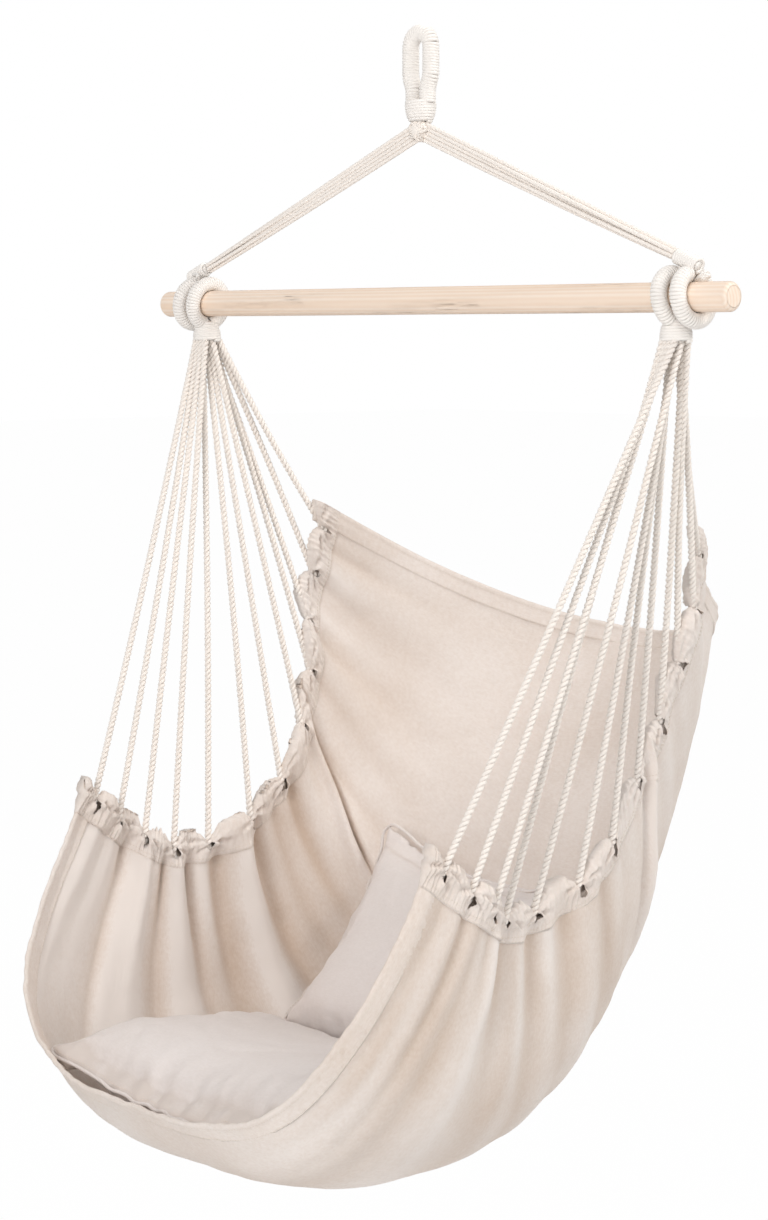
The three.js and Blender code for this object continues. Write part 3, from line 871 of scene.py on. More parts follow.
@dataclass
class RopeWork:
    """Eye, throat, knot, legs and the loops round the bar."""

    finishes: Finishes
    sizes: ChairSizes
    eye_core: float = 0.0122
    eye_seat: float = 0.0016
    eye_half_width: float = 0.016
    eye_foot_x: float = 0.0108
    eye_crown: float = -0.0030
    eye_foot: float = 0.066
    eye_leg: tuple[float, float] = (-0.060, -0.020)
    eye_narrowing: tuple[float, float] = (-0.052, -0.032)
    serving_pitch: float = 0.0031
    throat_ends: tuple[float, float] = (-0.0848, -0.0632)
    throat_radii: tuple[float, ...] = (0.0112, 0.0138, 0.0152, 0.0158, 0.0156)
    knot_drop: float = 0.094
    knot_radius: float = 0.011
    knot_fullness: float = 0.0040
    knot_cord: float = 0.0050
    sling_loop_x: float = 0.372
    harness_loop_x: float = 0.3975
    loop_trim: int = 6
    leg_lift: float = 0.0035
    stub_diameter: float = 0.014
    stub_length: float = 0.020
    rope: float = 0.0045
    rope_pitch: float = 0.0048
    ropes_per_leg: int = 5
    nest_share: float = 0.52
    neck_radii: tuple[float, ...] = (0.0152, 0.0152, 0.0149, 0.0138, 0.0118, 0.0096)
    tail_reach: float = 0.027
    tail_fibres: int = 9
    stopper_radius: float = 0.0062
    stopper_cord: float = 0.0032

    def __post_init__(self) -> None:
        """Settles the ropes' makes and the sizes that follow from others."""
        serving = self.sizes.serving
        self.serving_rope = Rope(serving + 0.0007, 0.015, depth=0.05)
        self.leg_rope = Rope(self.rope + 0.0005, 0.024, depth=0.14)
        self.loop_seat = self.sizes.loop_core / 2 + serving / 2 + 0.0003
        self.knot = np.array([0, 0, -self.knot_drop])

    def round_core(self, name: str, path: Array, radius: float, closed: bool = False) -> Piece:
        """A smooth rope core that lies hidden under its serving."""
        return Rope(radius * 2, 0.03, strands=4, depth=0.04).tube(name, path, closed)

    def finish_served(self, name: str, parts: Sequence[Piece], body: Body, nodes: Sequence[str]) -> None:
        """Joins the pieces of a served rope and dresses them."""
        finish_piece(join_meshes(name, parts), self.finishes.serving, body, nodes)

    def eye_path(self) -> Array:
        """Centre line of the rope that makes the eye, which narrows to its foot.

        Returns:
            Its points, from the left foot over the crown to the right foot.
        """
        turn = np.linspace(np.pi, 0.0, 25)
        rise = self.eye_crown + self.eye_half_width * np.sin(turn)
        crown = np.stack([self.eye_half_width * np.cos(turn), 0 * turn, rise], axis=1)
        height = np.linspace(*self.eye_leg, 24)
        wider = (self.eye_half_width - self.eye_foot_x) * smooth(height, *self.eye_narrowing)
        leg = np.stack([self.eye_foot_x + wider, 0 * height, height], axis=1)
        right = np.vstack([[[self.eye_foot_x, 0.0, -self.eye_foot]], leg])
        return np.vstack([right * np.array([-1.0, 1.0, 1.0]), crown, right[::-1]])

    def make_eye(self) -> None:
        """The eye's rope and the cord wound closely over it."""
        path = respaced(self.eye_path(), 0.001)
        core = self.round_core("eye_rope", path, self.eye_core / 2)
        line = wound_line(path[1:-1], ALONG_Y, self.eye_core / 2 + self.eye_seat, self.serving_pitch)
        parts = [core, self.serving_rope.tube("eye_winding", line)]
        self.finish_served("served_eye", parts, Body.HANGER, ["eye_core", "eye_serving"])

    def bound_cone(
        self, name: str, x: float, ends: Sequence[float], radii: Sequence[float], turns: float
    ) -> list[Piece]:
        """A core and the close turns of cord that bind it, about a vertical line.

        Args:
            name: Name that both pieces start with.
            x: Place of the line along the bar.
            ends: Heights of the foot and of the top.
            radii: Radii of the cord's centre from the foot to the top.
            turns: Number of turns.

        Returns:
            The core and the winding.
        """
        low, high = ends
        axis = respaced(np.array([[x, 0, low], [x, 0, high]]), 0.001)
        widest = max(radii)
        rope = Rope(widest * 2, 0.05, strands=6, depth=0.05)
        core = rope.tube(f"{name}_core", axis, taper=np.array(radii) / widest)
        t = np.linspace(0, 1, int(turns * 24))
        radius = np.interp(t, np.linspace(0, 1, len(radii)), radii)
        turn = 2 * np.pi * turns * t
        rise = low + (high - low) * t
        coil = np.stack([x + radius * np.cos(turn), radius * np.sin(turn), rise], axis=1)
        return [core, self.serving_rope.tube(f"{name}_winding", coil)]

    def make_throat(self) -> None:
        """The bound throat under the eye, which narrows to the knot."""
        low, high = self.throat_ends
        turns = (high - low) / self.serving_pitch
        parts = self.bound_cone("throat", 0.0, self.throat_ends, self.throat_radii, turns)
        self.finish_served("bound_throat", parts, Body.THROAT, ["throat_core", "throat_whipping"])

    def knot_turns(self, name: str, centre: Array, radius: float, cord: float) -> Piece:
        """A small knot of crossing turns on a round core.

        Args:
            name: Name of the knot.
            centre: Its middle.
            radius: Its outer radius.
            cord: Diameter of its cord.

        Returns:
            The knot as one object.
        """
        t = np.linspace(0, 2 * np.pi, 400)
        tilt = 0.95 * np.sin(5 * t)
        near = (radius - cord / 2) * (0.93 + 0.07 * np.cos(10 * t))
        flat = near * np.cos(tilt)
        turned = np.stack([flat * np.cos(2 * t), -near * np.sin(tilt), flat * np.sin(2 * t)], axis=1)
        turns = Rope(cord, 0.010).tube(f"{name}_turns", turned + centre, closed=True)
        deselect()
        inner = radius - cord * 0.72
        bpy.ops.mesh.primitive_uv_sphere_add(segments=24, ring_count=14, radius=inner, location=tuple(centre))
        return join_meshes(name, [settled(), turns])

    def make_knot(self) -> None:
        """The knot under the throat, from which both legs leave."""
        knot = self.knot_turns("throat_tie", self.knot, self.knot_radius + self.knot_fullness, self.knot_cord)
        finish_piece(knot, self.finishes.cord, Body.KNOT, ["throat_knot"])

    def loop_parts(self, side: Side, x: float, open_at: float, name: str) -> list[Piece]:
        """A loop that leans round the bar.

        Args:
            side: Its end of the bar.
            x: Distance of its middle from the bar's middle.
            open_at: Angle of the gap in its winding.
            name: Name that both pieces start with.

        Returns:
            The loop's rope and its close winding.
        """
        turn = np.linspace(0, 2 * np.pi, 181) + open_at
        ring = self.sizes.loop_radius * np.stack([0 * turn, np.sin(turn), np.cos(turn)], axis=1)
        lean = rotation(-side.value * self.sizes.loop_tilt, "Y")
        line = ring @ lean.T + np.array([side.value * x, 0, -self.sizes.bar_drop])
        core = self.round_core(f"{name}_rope", line, self.sizes.loop_core / 2, closed=True)
        trimmed = line[self.loop_trim : -self.loop_trim]
        winding = wound_line(trimmed, lean[:, 0], self.loop_seat, self.serving_pitch)
        return [core, self.serving_rope.tube(f"{name}_winding", winding)]

    def leg_end(self, side: Side) -> Array:
        """Middle of a leg's end, on top of the harness loop.

        Args:
            side: The leg's side.

        Returns:
            The point.
        """
        sizes = self.sizes
        inward = sizes.loop_radius * math.sin(sizes.loop_tilt)
        rise = sizes.loop_radius + self.stub_diameter / 2 + self.leg_lift
        return np.array([side.value * (self.harness_loop_x - inward), 0, rise - sizes.bar_drop])

    def make_harness_side(self, side: Side) -> None:
        """One end's harness loop, its bound stub and the leg's ropes.

        Args:
            side: The leg's side.
        """
        label, half_serving = side.label, self.sizes.serving * 0.45
        parts = self.loop_parts(side, self.harness_loop_x, 0.0, f"harness_loop_{label}")
        end = self.leg_end(side)
        toward = unit(self.knot - end)
        stub_end = end + toward * self.stub_length
        stub = np.array([end - toward * self.stub_diameter * 0.75, stub_end])
        radius = self.stub_diameter / 2 - half_serving
        parts.append(self.round_core(f"stub_{label}", respaced(stub, 0.001), radius))
        turns = respaced(stub, 0.0005)
        line = wound_line(turns, ALONG_Y, radius + half_serving, self.serving_pitch * 0.95)
        parts.append(self.serving_rope.tube(f"stub_winding_{label}", line))
        nodes = [f"harness_loop_core_{label}", f"harness_loop_serving_{label}"]
        self.finish_served(f"harness_loop_{label}", parts, Body.HARNESS, nodes)
        self.make_leg(side, stub_end)

    def make_leg(self, side: Side, stub_end: Array) -> None:
        """The ropes of one leg, from the knot to the stub.

        Args:
            side: The leg's side.
            stub_end: Middle of the stub's upper end.
        """
        axis = unit(stub_end - self.knot)
        above = unit(np.cross(axis, ALONG_Y)) * -side.value
        nested = self.rope_pitch * self.nest_share
        t = np.linspace(0, 1, 40)[:, None]
        bow = np.sin(np.pi * t)
        for index in range(self.ropes_per_leg):
            place = index - (self.ropes_per_leg - 1) / 2
            beside = nested if index % 2 == 0 else -nested
            start = self.knot + axis * (self.knot_radius * 0.55) + above * place * self.rope_pitch * 0.9
            end = stub_end - axis * 0.004 + above * place * nested * 0.9 + ALONG_Y * beside
            sway = bow * 0.0006 * math.sin(3.1 * index + side.value) * ALONG_Y
            spread = bow**0.5 * place * 0.0003 * above
            sag = bow * 0.0008 * (1 + 0.3 * math.sin(5.0 * index)) * UP
            path = start + (end - start) * t + sway + spread - sag
            name = f"rope_{side.label}_{index + 1}"
            rope = self.leg_rope.tube(f"leg_{name}", path)
            finish_piece(rope, self.finishes.cord, Body.HARNESS, [f"harness_{name}"])

    def make_sling_side(self, side: Side) -> None:
        """One end's sling loop and the bound neck under it.

        Args:
            side: The sling's side.
        """
        label, sizes = side.label, self.sizes
        parts = self.loop_parts(side, self.sling_loop_x, math.pi, f"sling_loop_{label}")
        top = -sizes.bar_drop - sizes.loop_radius + sizes.loop_core * 0.3
        turns = (top - sizes.neck_foot) / self.serving_pitch
        ends = (sizes.neck_foot + 0.001, top)
        parts += self.bound_cone(f"neck_{label}", side.value * sizes.neck_x, ends, self.neck_radii, turns)
        nodes = [f"{part}_{label}" for part in ("sling_loop_core", "sling_loop_serving", "neck_whipping")]
        self.finish_served(f"sling_loop_{label}", parts, Body.SLING, nodes)

    def make_tail(self) -> None:
        """The serving's loose end at the right, frayed into fibres."""
        below = self.stub_diameter / 2 + self.sizes.serving / 2 + self.sizes.fit
        root = self.leg_end(Side.RIGHT) + np.array([self.stub_length / 4, -below, 0])
        shares = np.array([[0, 0, 0], [0.3, -0.06, 0.03], [0.62, -0.26, -0.04], [0.9, -0.5, -0.2]])
        path = uniform_curve(root + self.tail_reach * shares, np.linspace(0, 1, 30))[:24]
        parts = [self.serving_rope.tube("tail_cord", path)]
        direction = unit(path[-1] - path[-4])
        t = np.linspace(0, 1, 6)[:, None]
        for index in range(self.tail_fibres):
            turn = 2 * np.pi * index / self.tail_fibres
            spread = 0.0016 * np.array([0.3 * math.sin(turn), math.cos(turn), math.sin(turn)])
            length = 0.007 + 0.002 * math.sin(2.3 * index)
            start = path[-1] - direction * 0.002 + spread * 0.5
            fibre = start + direction * length * t + spread * 1.5 * t**1.5 - 0.0012 * UP * t**2
            strand = Rope(0.0008, 0.004, steps_per_lay=5)
            parts.append(strand.tube(f"fray_{index}", fibre, taper=(1.0, 0.8, 0.35)))
        self.finish_served("frayed_tail", parts, Body.HARNESS, ["serving_tail_right"])

    def make_stopper(self) -> None:
        """The stopper knot that ends the serving at the left."""
        low, high = (np.array(corner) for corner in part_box("serving_knot_left"))
        knot = self.knot_turns("stopper_knot", (low + high) / 2, self.stopper_radius, self.stopper_cord)
        finish_piece(knot, self.finishes.serving, Body.HARNESS, ["serving_knot_left"])

    def make(self) -> None:
        """Makes all the rope work."""
        self.make_eye()
        self.make_throat()
        self.make_knot()
        for side in Side:
            self.make_harness_side(side)
            self.make_sling_side(side)
        self.make_tail()
        self.make_stopper()


# Bar


@dataclass
class SpreaderBar:
    """The round wooden bar."""

    finishes: Finishes
    sizes: ChairSizes
    end_round: float = 0.0048
    cuts: int = 25
    sanding: float = 0.006

    def round_ends(self, bar: Piece) -> None:
        """Rounds both rims and cuts the bar into short lengths, for the sanding to bend.

        Args:
            bar: The bar, as a plain cylinder.
        """
        length = self.sizes.bar_length
        bpy.ops.object.mode_set(mode="EDIT")
        mesh = bmesh.from_edit_mesh(bar.data)
        for edge in mesh.edges:
            ends = [abs(abs(v.co.x) - length / 2) < 1e-5 for v in edge.verts]
            edge.select_set(all(ends) and len(edge.link_faces) == 2)
        bmesh.update_edit_mesh(bar.data)
        bpy.ops.mesh.bevel(offset=self.end_round, segments=6, profile=0.5, affect="EDGES")
        for share in np.linspace(-0.48, 0.48, self.cuts):
            bpy.ops.mesh.select_all(action="SELECT")
            bpy.ops.mesh.bisect(plane_co=(length * share, 0, 0), plane_no=(1, 0, 0))
        bpy.ops.object.mode_set(mode="OBJECT")

    def make(self) -> None:
        """A turned bar with rounded ends and the faint flats of hand sanding."""
        sizes = self.sizes
        deselect()
        radius = sizes.bar_diameter / 2
        place = {"location": (0, 0, -sizes.bar_drop), "rotation": (0, math.pi / 2, 0)}
        bpy.ops.mesh.primitive_cylinder_add(vertices=72, radius=radius, depth=sizes.bar_length, **place)
        bar = settled()
        bar.name = "turned_bar"
        self.round_ends(bar)
        points = positions(bar)
        x, y, z = points[:, 0], points[:, 1], points[:, 2] + sizes.bar_drop
        angle = np.arctan2(z, y)
        ease = 1 - self.sanding * (1 + np.sin(3 * angle + 7 * x) * np.sin(11 * x + 1.3))
        place_points(bar, np.stack([x, y * ease, z * ease - sizes.bar_drop], axis=1))
        take(bar)
        bpy.ops.object.shade_smooth_by_angle(angle=math.radians(50))
        finish_piece(bar, self.finishes.pine, Body.BAR, ["spreader_bar"])


# Sling


Folds = tuple[tuple[float, float, float, float], ...]


@dataclass
class SlingShape:
    """The surface of the hung cloth, and the soft folds in it.

    Places across the cloth are shares of its half width, from -1 at the far side to 1 at the
    near one, and places along it go from 0 at the lip to 1 at the back hem. Each deep fold is
    its place along the side, its depth, its width and how far it runs in.
    """

    sizes: ChairSizes
    half_width: float = 0.320
    reach: float = 0.400
    drop: float = 0.955
    fold_depth: float = 0.007
    fold_run: float = 0.150
    fold_count: int = 6
    fold_end: float = 0.125
    folds_per_side: int = 26
    fold_fan: float = 0.16
    deep_fan: float = 0.30
    far_gain: float = 1.25
    near_calm: float = 0.55
    gather_run: float = 0.16
    calm_middle: float = 0.25
    # Share of painted shade per metre of fold depth.
    warmth_per_metre: float = 56.0
    lean_by: tuple[float, float, float] = (-0.018, -0.015, 0.002)
    far_folds: Folds = (
        (0.172, 0.006, 0.006, 0.22), (0.225, -0.006, 0.020, 0.30), (0.270, 0.012, 0.011, 0.32),
        (0.310, -0.006, 0.012, 0.28), (0.342, 0.007, 0.008, 0.28), (0.388, 0.010, 0.016, 0.32),
        (0.435, -0.008, 0.014, 0.28), (0.472, 0.010, 0.009, 0.30), (0.520, 0.008, 0.012, 0.28),
        (0.560, 0.006, 0.009, 0.20),
    )
    near_folds: Folds = (
        (0.080, 0.005, 0.016, 0.20), (0.125, -0.008, 0.010, 0.26), (0.172, -0.011, 0.014, 0.34),
        (0.232, 0.009, 0.018, 0.32), (0.290, -0.005, 0.012, 0.32), (0.335, 0.003, 0.014, 0.30),
        (0.367, -0.009, 0.010, 0.28), (0.402, 0.006, 0.012, 0.26), (0.435, -0.007, 0.012, 0.26),
        (0.465, 0.005, 0.010, 0.24), (0.505, -0.008, 0.012, 0.26), (0.560, -0.007, 0.010, 0.22),
        (0.600, 0.006, 0.012, 0.20), (0.640, -0.006, 0.010, 0.20),
    )
    middle: tuple = (
        (-1.02, 0.889), (-0.812, 0.971), (-0.27, 1), (0.208, 0.94), (0.56, 0.795), (0.787, 0.6), (1, 0.421),
    )
    side: tuple = (
        (0.888, -0.66, 0.571), (0.906, -0.477, 0.625), (0.8375, -0.305, 0.6555), (0.844, 0.005, 0.617),
        (0.919, 0.205, 0.496), (1, 0.255, 0.37), (0.944, 0.285, 0.254),
    )
    trough: tuple = ((2.99, 3.16), (3.36, 2.35), (1.9, 1.62), (1.78, 1.56))

    def __post_init__(self) -> None:
        """Measures the cloth's rows, and draws the narrow folds."""
        self.rows = np.linspace(0, 1, 401)
        u = np.linspace(0, 1, 81)
        steps = np.linalg.norm(np.diff(self.surface(*np.meshgrid(u, self.rows)), axis=1), axis=2)
        lengths = np.concatenate([np.zeros((len(self.rows), 1)), np.cumsum(steps, axis=1)], axis=1)
        self.widths = lengths[:, -1]
        shares = np.linspace(0, 1, 201)
        self.table = np.stack([np.interp(shares * row[-1], row, u) for row in lengths])
        random = np.random.default_rng(7)
        count = self.folds_per_side
        self.fold_places = (np.arange(count) + 0.5 + random.uniform(-0.35, 0.35, (2, count))) / count
        signs = np.where(np.arange(count) % 2 == 0, 1.0, -0.7)
        self.fold_depths = random.uniform(0.0045, 0.0098, (2, count)) * signs
        self.fold_widths = random.uniform(0.009, 0.016, (2, count))
        self.fold_lengths = self.gather_run * random.uniform(0.8, 2.2, (2, count))
        self.fold_drifts = random.uniform(-0.10, 0.10, (2, count))

    def surface(self, u: Array, v: Array) -> Array:
        """The bare surface.

        Args:
            u: Places across, from -1 to 1, along the section's own angle.
            v: Places along.

        Returns:
            Points in metres.
        """
        scale = np.array([self.half_width, self.reach, -self.drop])
        side = uniform_curve(self.side, v) * scale - self.sizes.bar_drop * UP
        flat = uniform_curve(self.middle, v)
        middle_y, middle_z = flat[..., 0] * self.reach, -self.sizes.bar_drop - flat[..., 1] * self.drop
        trough = uniform_curve(self.trough, v)
        angle = np.abs(u) * np.pi / 2
        square = 2 / trough[..., 0]
        rise = 1 - np.maximum(np.cos(angle), 0) ** square
        x = np.sign(u) * side[..., 0] * np.sin(angle) ** square
        y = middle_y + (side[..., 1] - middle_y) * np.abs(u) ** trough[..., 1]
        z = middle_z + (side[..., 2] - middle_z) * rise
        return np.stack([x, y, z], axis=-1)

    def width(self, v: Array) -> Array:
        """Half the cloth's width at v."""
        return np.interp(v, self.rows, self.widths)

    def from_side(self, share: Array, v: Array) -> Array:
        """Metres of cloth from the nearer side."""
        return (1 - np.abs(share)) * self.width(v)

    def point(self, share: Array, v: Array) -> Array:
        """The bare surface at a share of the cloth's half width.

        Args:
            share: Places across.
            v: Places along.

        Returns:
            Points in metres.
        """
        last_row, last_column = (size - 1 for size in self.table.shape)
        row = np.clip(v, 0, 1) * last_row
        low = np.minimum(row.astype(int), last_row - 1)
        column = np.minimum(np.abs(share), 1) * last_column
        left = np.minimum(column.astype(int), last_column - 1)
        a, b = row - low, column - left
        inner = self.table[low, left] * (1 - a) + self.table[low + 1, left] * a
        outer = self.table[low, left + 1] * (1 - a) + self.table[low + 1, left + 1] * a
        return self.surface((inner * (1 - b) + outer * b) * np.sign(share), np.clip(v, 0, 1))

    def normal(self, share: Array, v: Array, small: float = 2e-3) -> Array:
        """Outward direction of the surface, away from the sitter.

        Args:
            share: Places across.
            v: Places along.
            small: Step to the points that are compared.

        Returns:
            Directions of length one.
        """
        across = self.point(np.minimum(share + small, 1), v) - self.point(np.maximum(share - small, -1), v)
        along = self.point(share, np.minimum(v + small, 1)) - self.point(share, np.maximum(v - small, 0))
        return unit(np.cross(along, across))

    def gathers(self, share: Array, v: Array, stretch: float = 1.0) -> Array:
        """Folds that run down from the gathered sides: many narrow ones and some deep ones.

        Args:
            share: Places across.
            v: Places along.
            stretch: How much longer the folds are.

        Returns:
            Depths in metres.
        """
        from_side = self.from_side(share, v)
        near = share > 0
        which = near.astype(int)
        below = np.maximum(from_side - self.sizes.casing_depth * 0.6, 0)
        longer = stretch * np.interp(v - 0.10 * which, [0.58, 0.72], [1.0, 0.4])
        held = np.interp(v, [0.6, 0.75], [1.0, 0.7]) * np.where(near, 0.6, 0.8)
        total = np.zeros_like(v)
        for index in range(self.folds_per_side):
            away = v - self.fold_places[which, index] - self.fold_drifts[which, index] * below
            across = bell(away, self.fold_widths[which, index] * (1 + below / self.fold_fan), 1.5)
            down = bell(below, self.fold_lengths[which, index] * longer, 1.7)
            total += held * self.fold_depths[which, index] * across * down
        sides = ((~near, self.far_gain, self.far_folds), (near, self.near_calm, self.near_folds))
        for here, gain, folds in sides:
            for place, depth, width, length in folds:
                across = bell(v - place, width * (1 + below / self.deep_fan), 1.7)
                total += here * gain * depth * across * bell(below, length * stretch, 2.4)
        start = 0.15 + 0.85 * np.minimum(1, from_side / self.sizes.casing_depth) ** 2
        ends = np.minimum(1, np.minimum(v, 1 - v) / 0.03)
        return total * start * smooth(np.abs(share), 0, self.calm_middle) * ends

    def crease_line(self, far: Array | float) -> Array:
        """Where the long crease is along the cloth, at a share of the half width."""
        shares = [0.45, 0.56, 0.65, 0.76, 0.89, 1.0]
        return np.interp(far, shares, [0.600, 0.613, 0.623, 0.639, 0.651, 0.668])

    def crease_ends(self, share: Array) -> Array:
        """Strength of the crease, which fades at both ends and is weaker on the near side."""
        fade = np.interp(np.abs(share), [0.44, 0.60, 0.93, 0.98], [0.0, 1.0, 1.15, 0.5])
        return fade * np.where(share < 0, 1.0, 0.6)

    def crease(self, share: Array, v: Array) -> Array:
        """The long sharp crease where each side wall turns into the back."""
        away = v - self.crease_line(np.abs(share))
        return (0.014 * bell(away, 0.0042) - 0.010 * bell(away + 0.014, 0.010)) * self.crease_ends(share)

    def drawn_rows(self, column: Array, row: Array) -> Array:
        """Rows of a grid drawn together at the crease, which is too sharp for even rows.

        Args:
            column: Places across, from -1 to 1.
            row: Even places along, from 0 to 1.

        Returns:
            Places along, for each point.
        """
        v = np.empty_like(row)
        fine = np.linspace(0, 1, 900)
        for far in np.unique(np.round(np.abs(column), 5)):
            dense = 1 + 2.4 * bell(fine - self.crease_line(far), 0.022)
            total = np.concatenate([[0.0], np.cumsum((dense[1:] + dense[:-1]) / 2)])
            here = np.abs(np.abs(column) - far) < 1e-4
            v[here] = np.interp(row[here], total / total[-1], fine)
        return v

    def tint(self, share: Array, v: Array) -> Array:
        """Painted shade and painted light on the cloth, seen from the sitter's side: painted shade in fold
        valleys and along the long crease, painted light on fold crests and on the front parts of the near and
        far walls.

        Args:
            share: Places across.
            v: Places along.

        Returns:
            Shares of the finish's second tone.
        """
        # Painted shade in valleys and painted light on crests, scaled from the folds' depth.
        folds = np.clip(self.warmth_per_metre * self.gathers(share, v, 1.5), -0.36, 0.66)
        # A painted dark line of shade along the long crease.
        line = 0.7 * bell(v - self.crease_line(np.abs(share)), 0.004) * self.crease_ends(share)
        # Painted light on the front of the near wall and of the far wall.
        near = 0.25 * ramp(share, 0.35, 0.65) * np.interp(v, [0.36, 0.56], [1.0, 0.0])
        far = ramp(-share, 0.3, 0.6) * np.interp(v, [0.14, 0.30, 0.6], [0.42, 0.12, 0.0])
        return folds + line - near - far

    def waves(self, share: Array, v: Array) -> Array:
        """Depth of every fold at a place.

        Args:
            share: Places across.
            v: Places along.

        Returns:
            Depths in metres along the outward direction.
        """
        fade = np.minimum(1, np.minimum(v, 1 - v) / self.fold_end)
        swing = self.fold_depth * np.where(share > 0, 0.5, 1.0) * np.cos(2 * np.pi * self.fold_count * v)
        broad = swing * bell(self.from_side(share, v), self.fold_run) * fade
        corner = bell(share - 0.70, 0.2) * (ramp(v, 0.6, 0.95) ** 2 + ramp(v, 0.82, 1.0) ** 2)
        return broad + self.gathers(share, v) + self.crease(share, v) - 0.012 * corner

    def lean(self, share: Array, v: Array) -> Array:
        """How far the near half of the back hangs inwards and forwards, as in the photograph."""
        corner = 1 - 1.1 * smooth(ramp(v, 0.76, 1.0) * ramp(share, 0.5, 1.0))
        return np.multiply.outer(smooth(v, 0.46, 0.70) * smooth(share, 0.25, 0.85) * corner, self.lean_by)

    def place(self, share: Array, v: Array, out: Array | float = 0.0) -> Array:
        """The folded cloth.

        Args:
            share: Places across.
            v: Places along.
            out: A further offset outwards, in metres.

        Returns:
            Points in metres.
        """
        share, v = np.broadcast_arrays(np.asarray(share, dtype=float), np.asarray(v, dtype=float))
        depth = np.asarray(self.waves(share, v) + out)[..., None]
        return self.point(share, v) + self.normal(share, v) * depth + self.lean(share, v)


@dataclass
class Stitching:
    """Rows of short thread stitches, gathered into one piece."""

    pitch: float = 0.0042
    length: float = 0.0030
    radius: float = 0.00042
    sides: int = 5

    def __post_init__(self) -> None:
        """Starts with no stitch."""
        self.points: list[Array] = []
        self.faces: list[Array] = []
        self.count = 0

    def template(self) -> tuple[Array, Array]:
        """One stitch, lying along X.

        Returns:
            Its points and its faces.
        """
        sides = self.sides
        turn = 2 * np.pi * np.arange(sides) / sides
        ring = np.stack([0 * turn, np.cos(turn), np.sin(turn)], axis=1)
        spots = [(-0.5, 0.35), (-0.2, 1.0), (0.2, 1.0), (0.5, 0.35)]
        points = np.vstack([ring * self.radius * size + [self.length * at, 0, 0] for at, size in spots])
        faces = []
        last = (len(spots) - 1) * sides
        for start in range(0, last, sides):
            for k in range(sides):
                a, b = start + k, start + (k + 1) % sides
                faces += [(a, b, b + sides), (a, b + sides, a + sides)]
        for k in range(1, sides - 1):
            faces += [(0, k + 1, k), (last, last + k, last + k + 1)]
        return points, np.array(faces)

    def row(self, path: Array, outward: Array) -> None:
        """Adds a row of stitches.

        Args:
            path: The seam's line on the cloth's face.
            outward: The direction away from the cloth, one per point.
        """
        lengths = lengths_along(path)
        places = np.arange(self.pitch / 2, lengths[-1], self.pitch)
        ahead = sampled(path, lengths, places + self.pitch / 4)
        tangents = unit(ahead - sampled(path, lengths, places - self.pitch / 4))
        normals = sampled(outward, lengths, places)
        normals = unit(normals - tangents * np.sum(normals * tangents, axis=1, keepdims=True))
        axes = np.stack([tangents, normals, np.cross(tangents, normals)], axis=1)
        points, faces = self.template()
        made = sampled(path, lengths, places)[:, None] + points @ axes
        starts = self.count + np.arange(len(places)) * len(points)
        self.points.append(made.reshape(-1, 3))
        self.faces.append((faces[None] + starts[:, None, None]).reshape(-1, 3))
        self.count += len(places) * len(points)

    def object(self, name: str) -> Piece:
        """All the rows as one piece."""
        points = np.vstack(self.points)
        return mesh_object(name, points, np.vstack(self.faces).tolist(), points[:, :2])


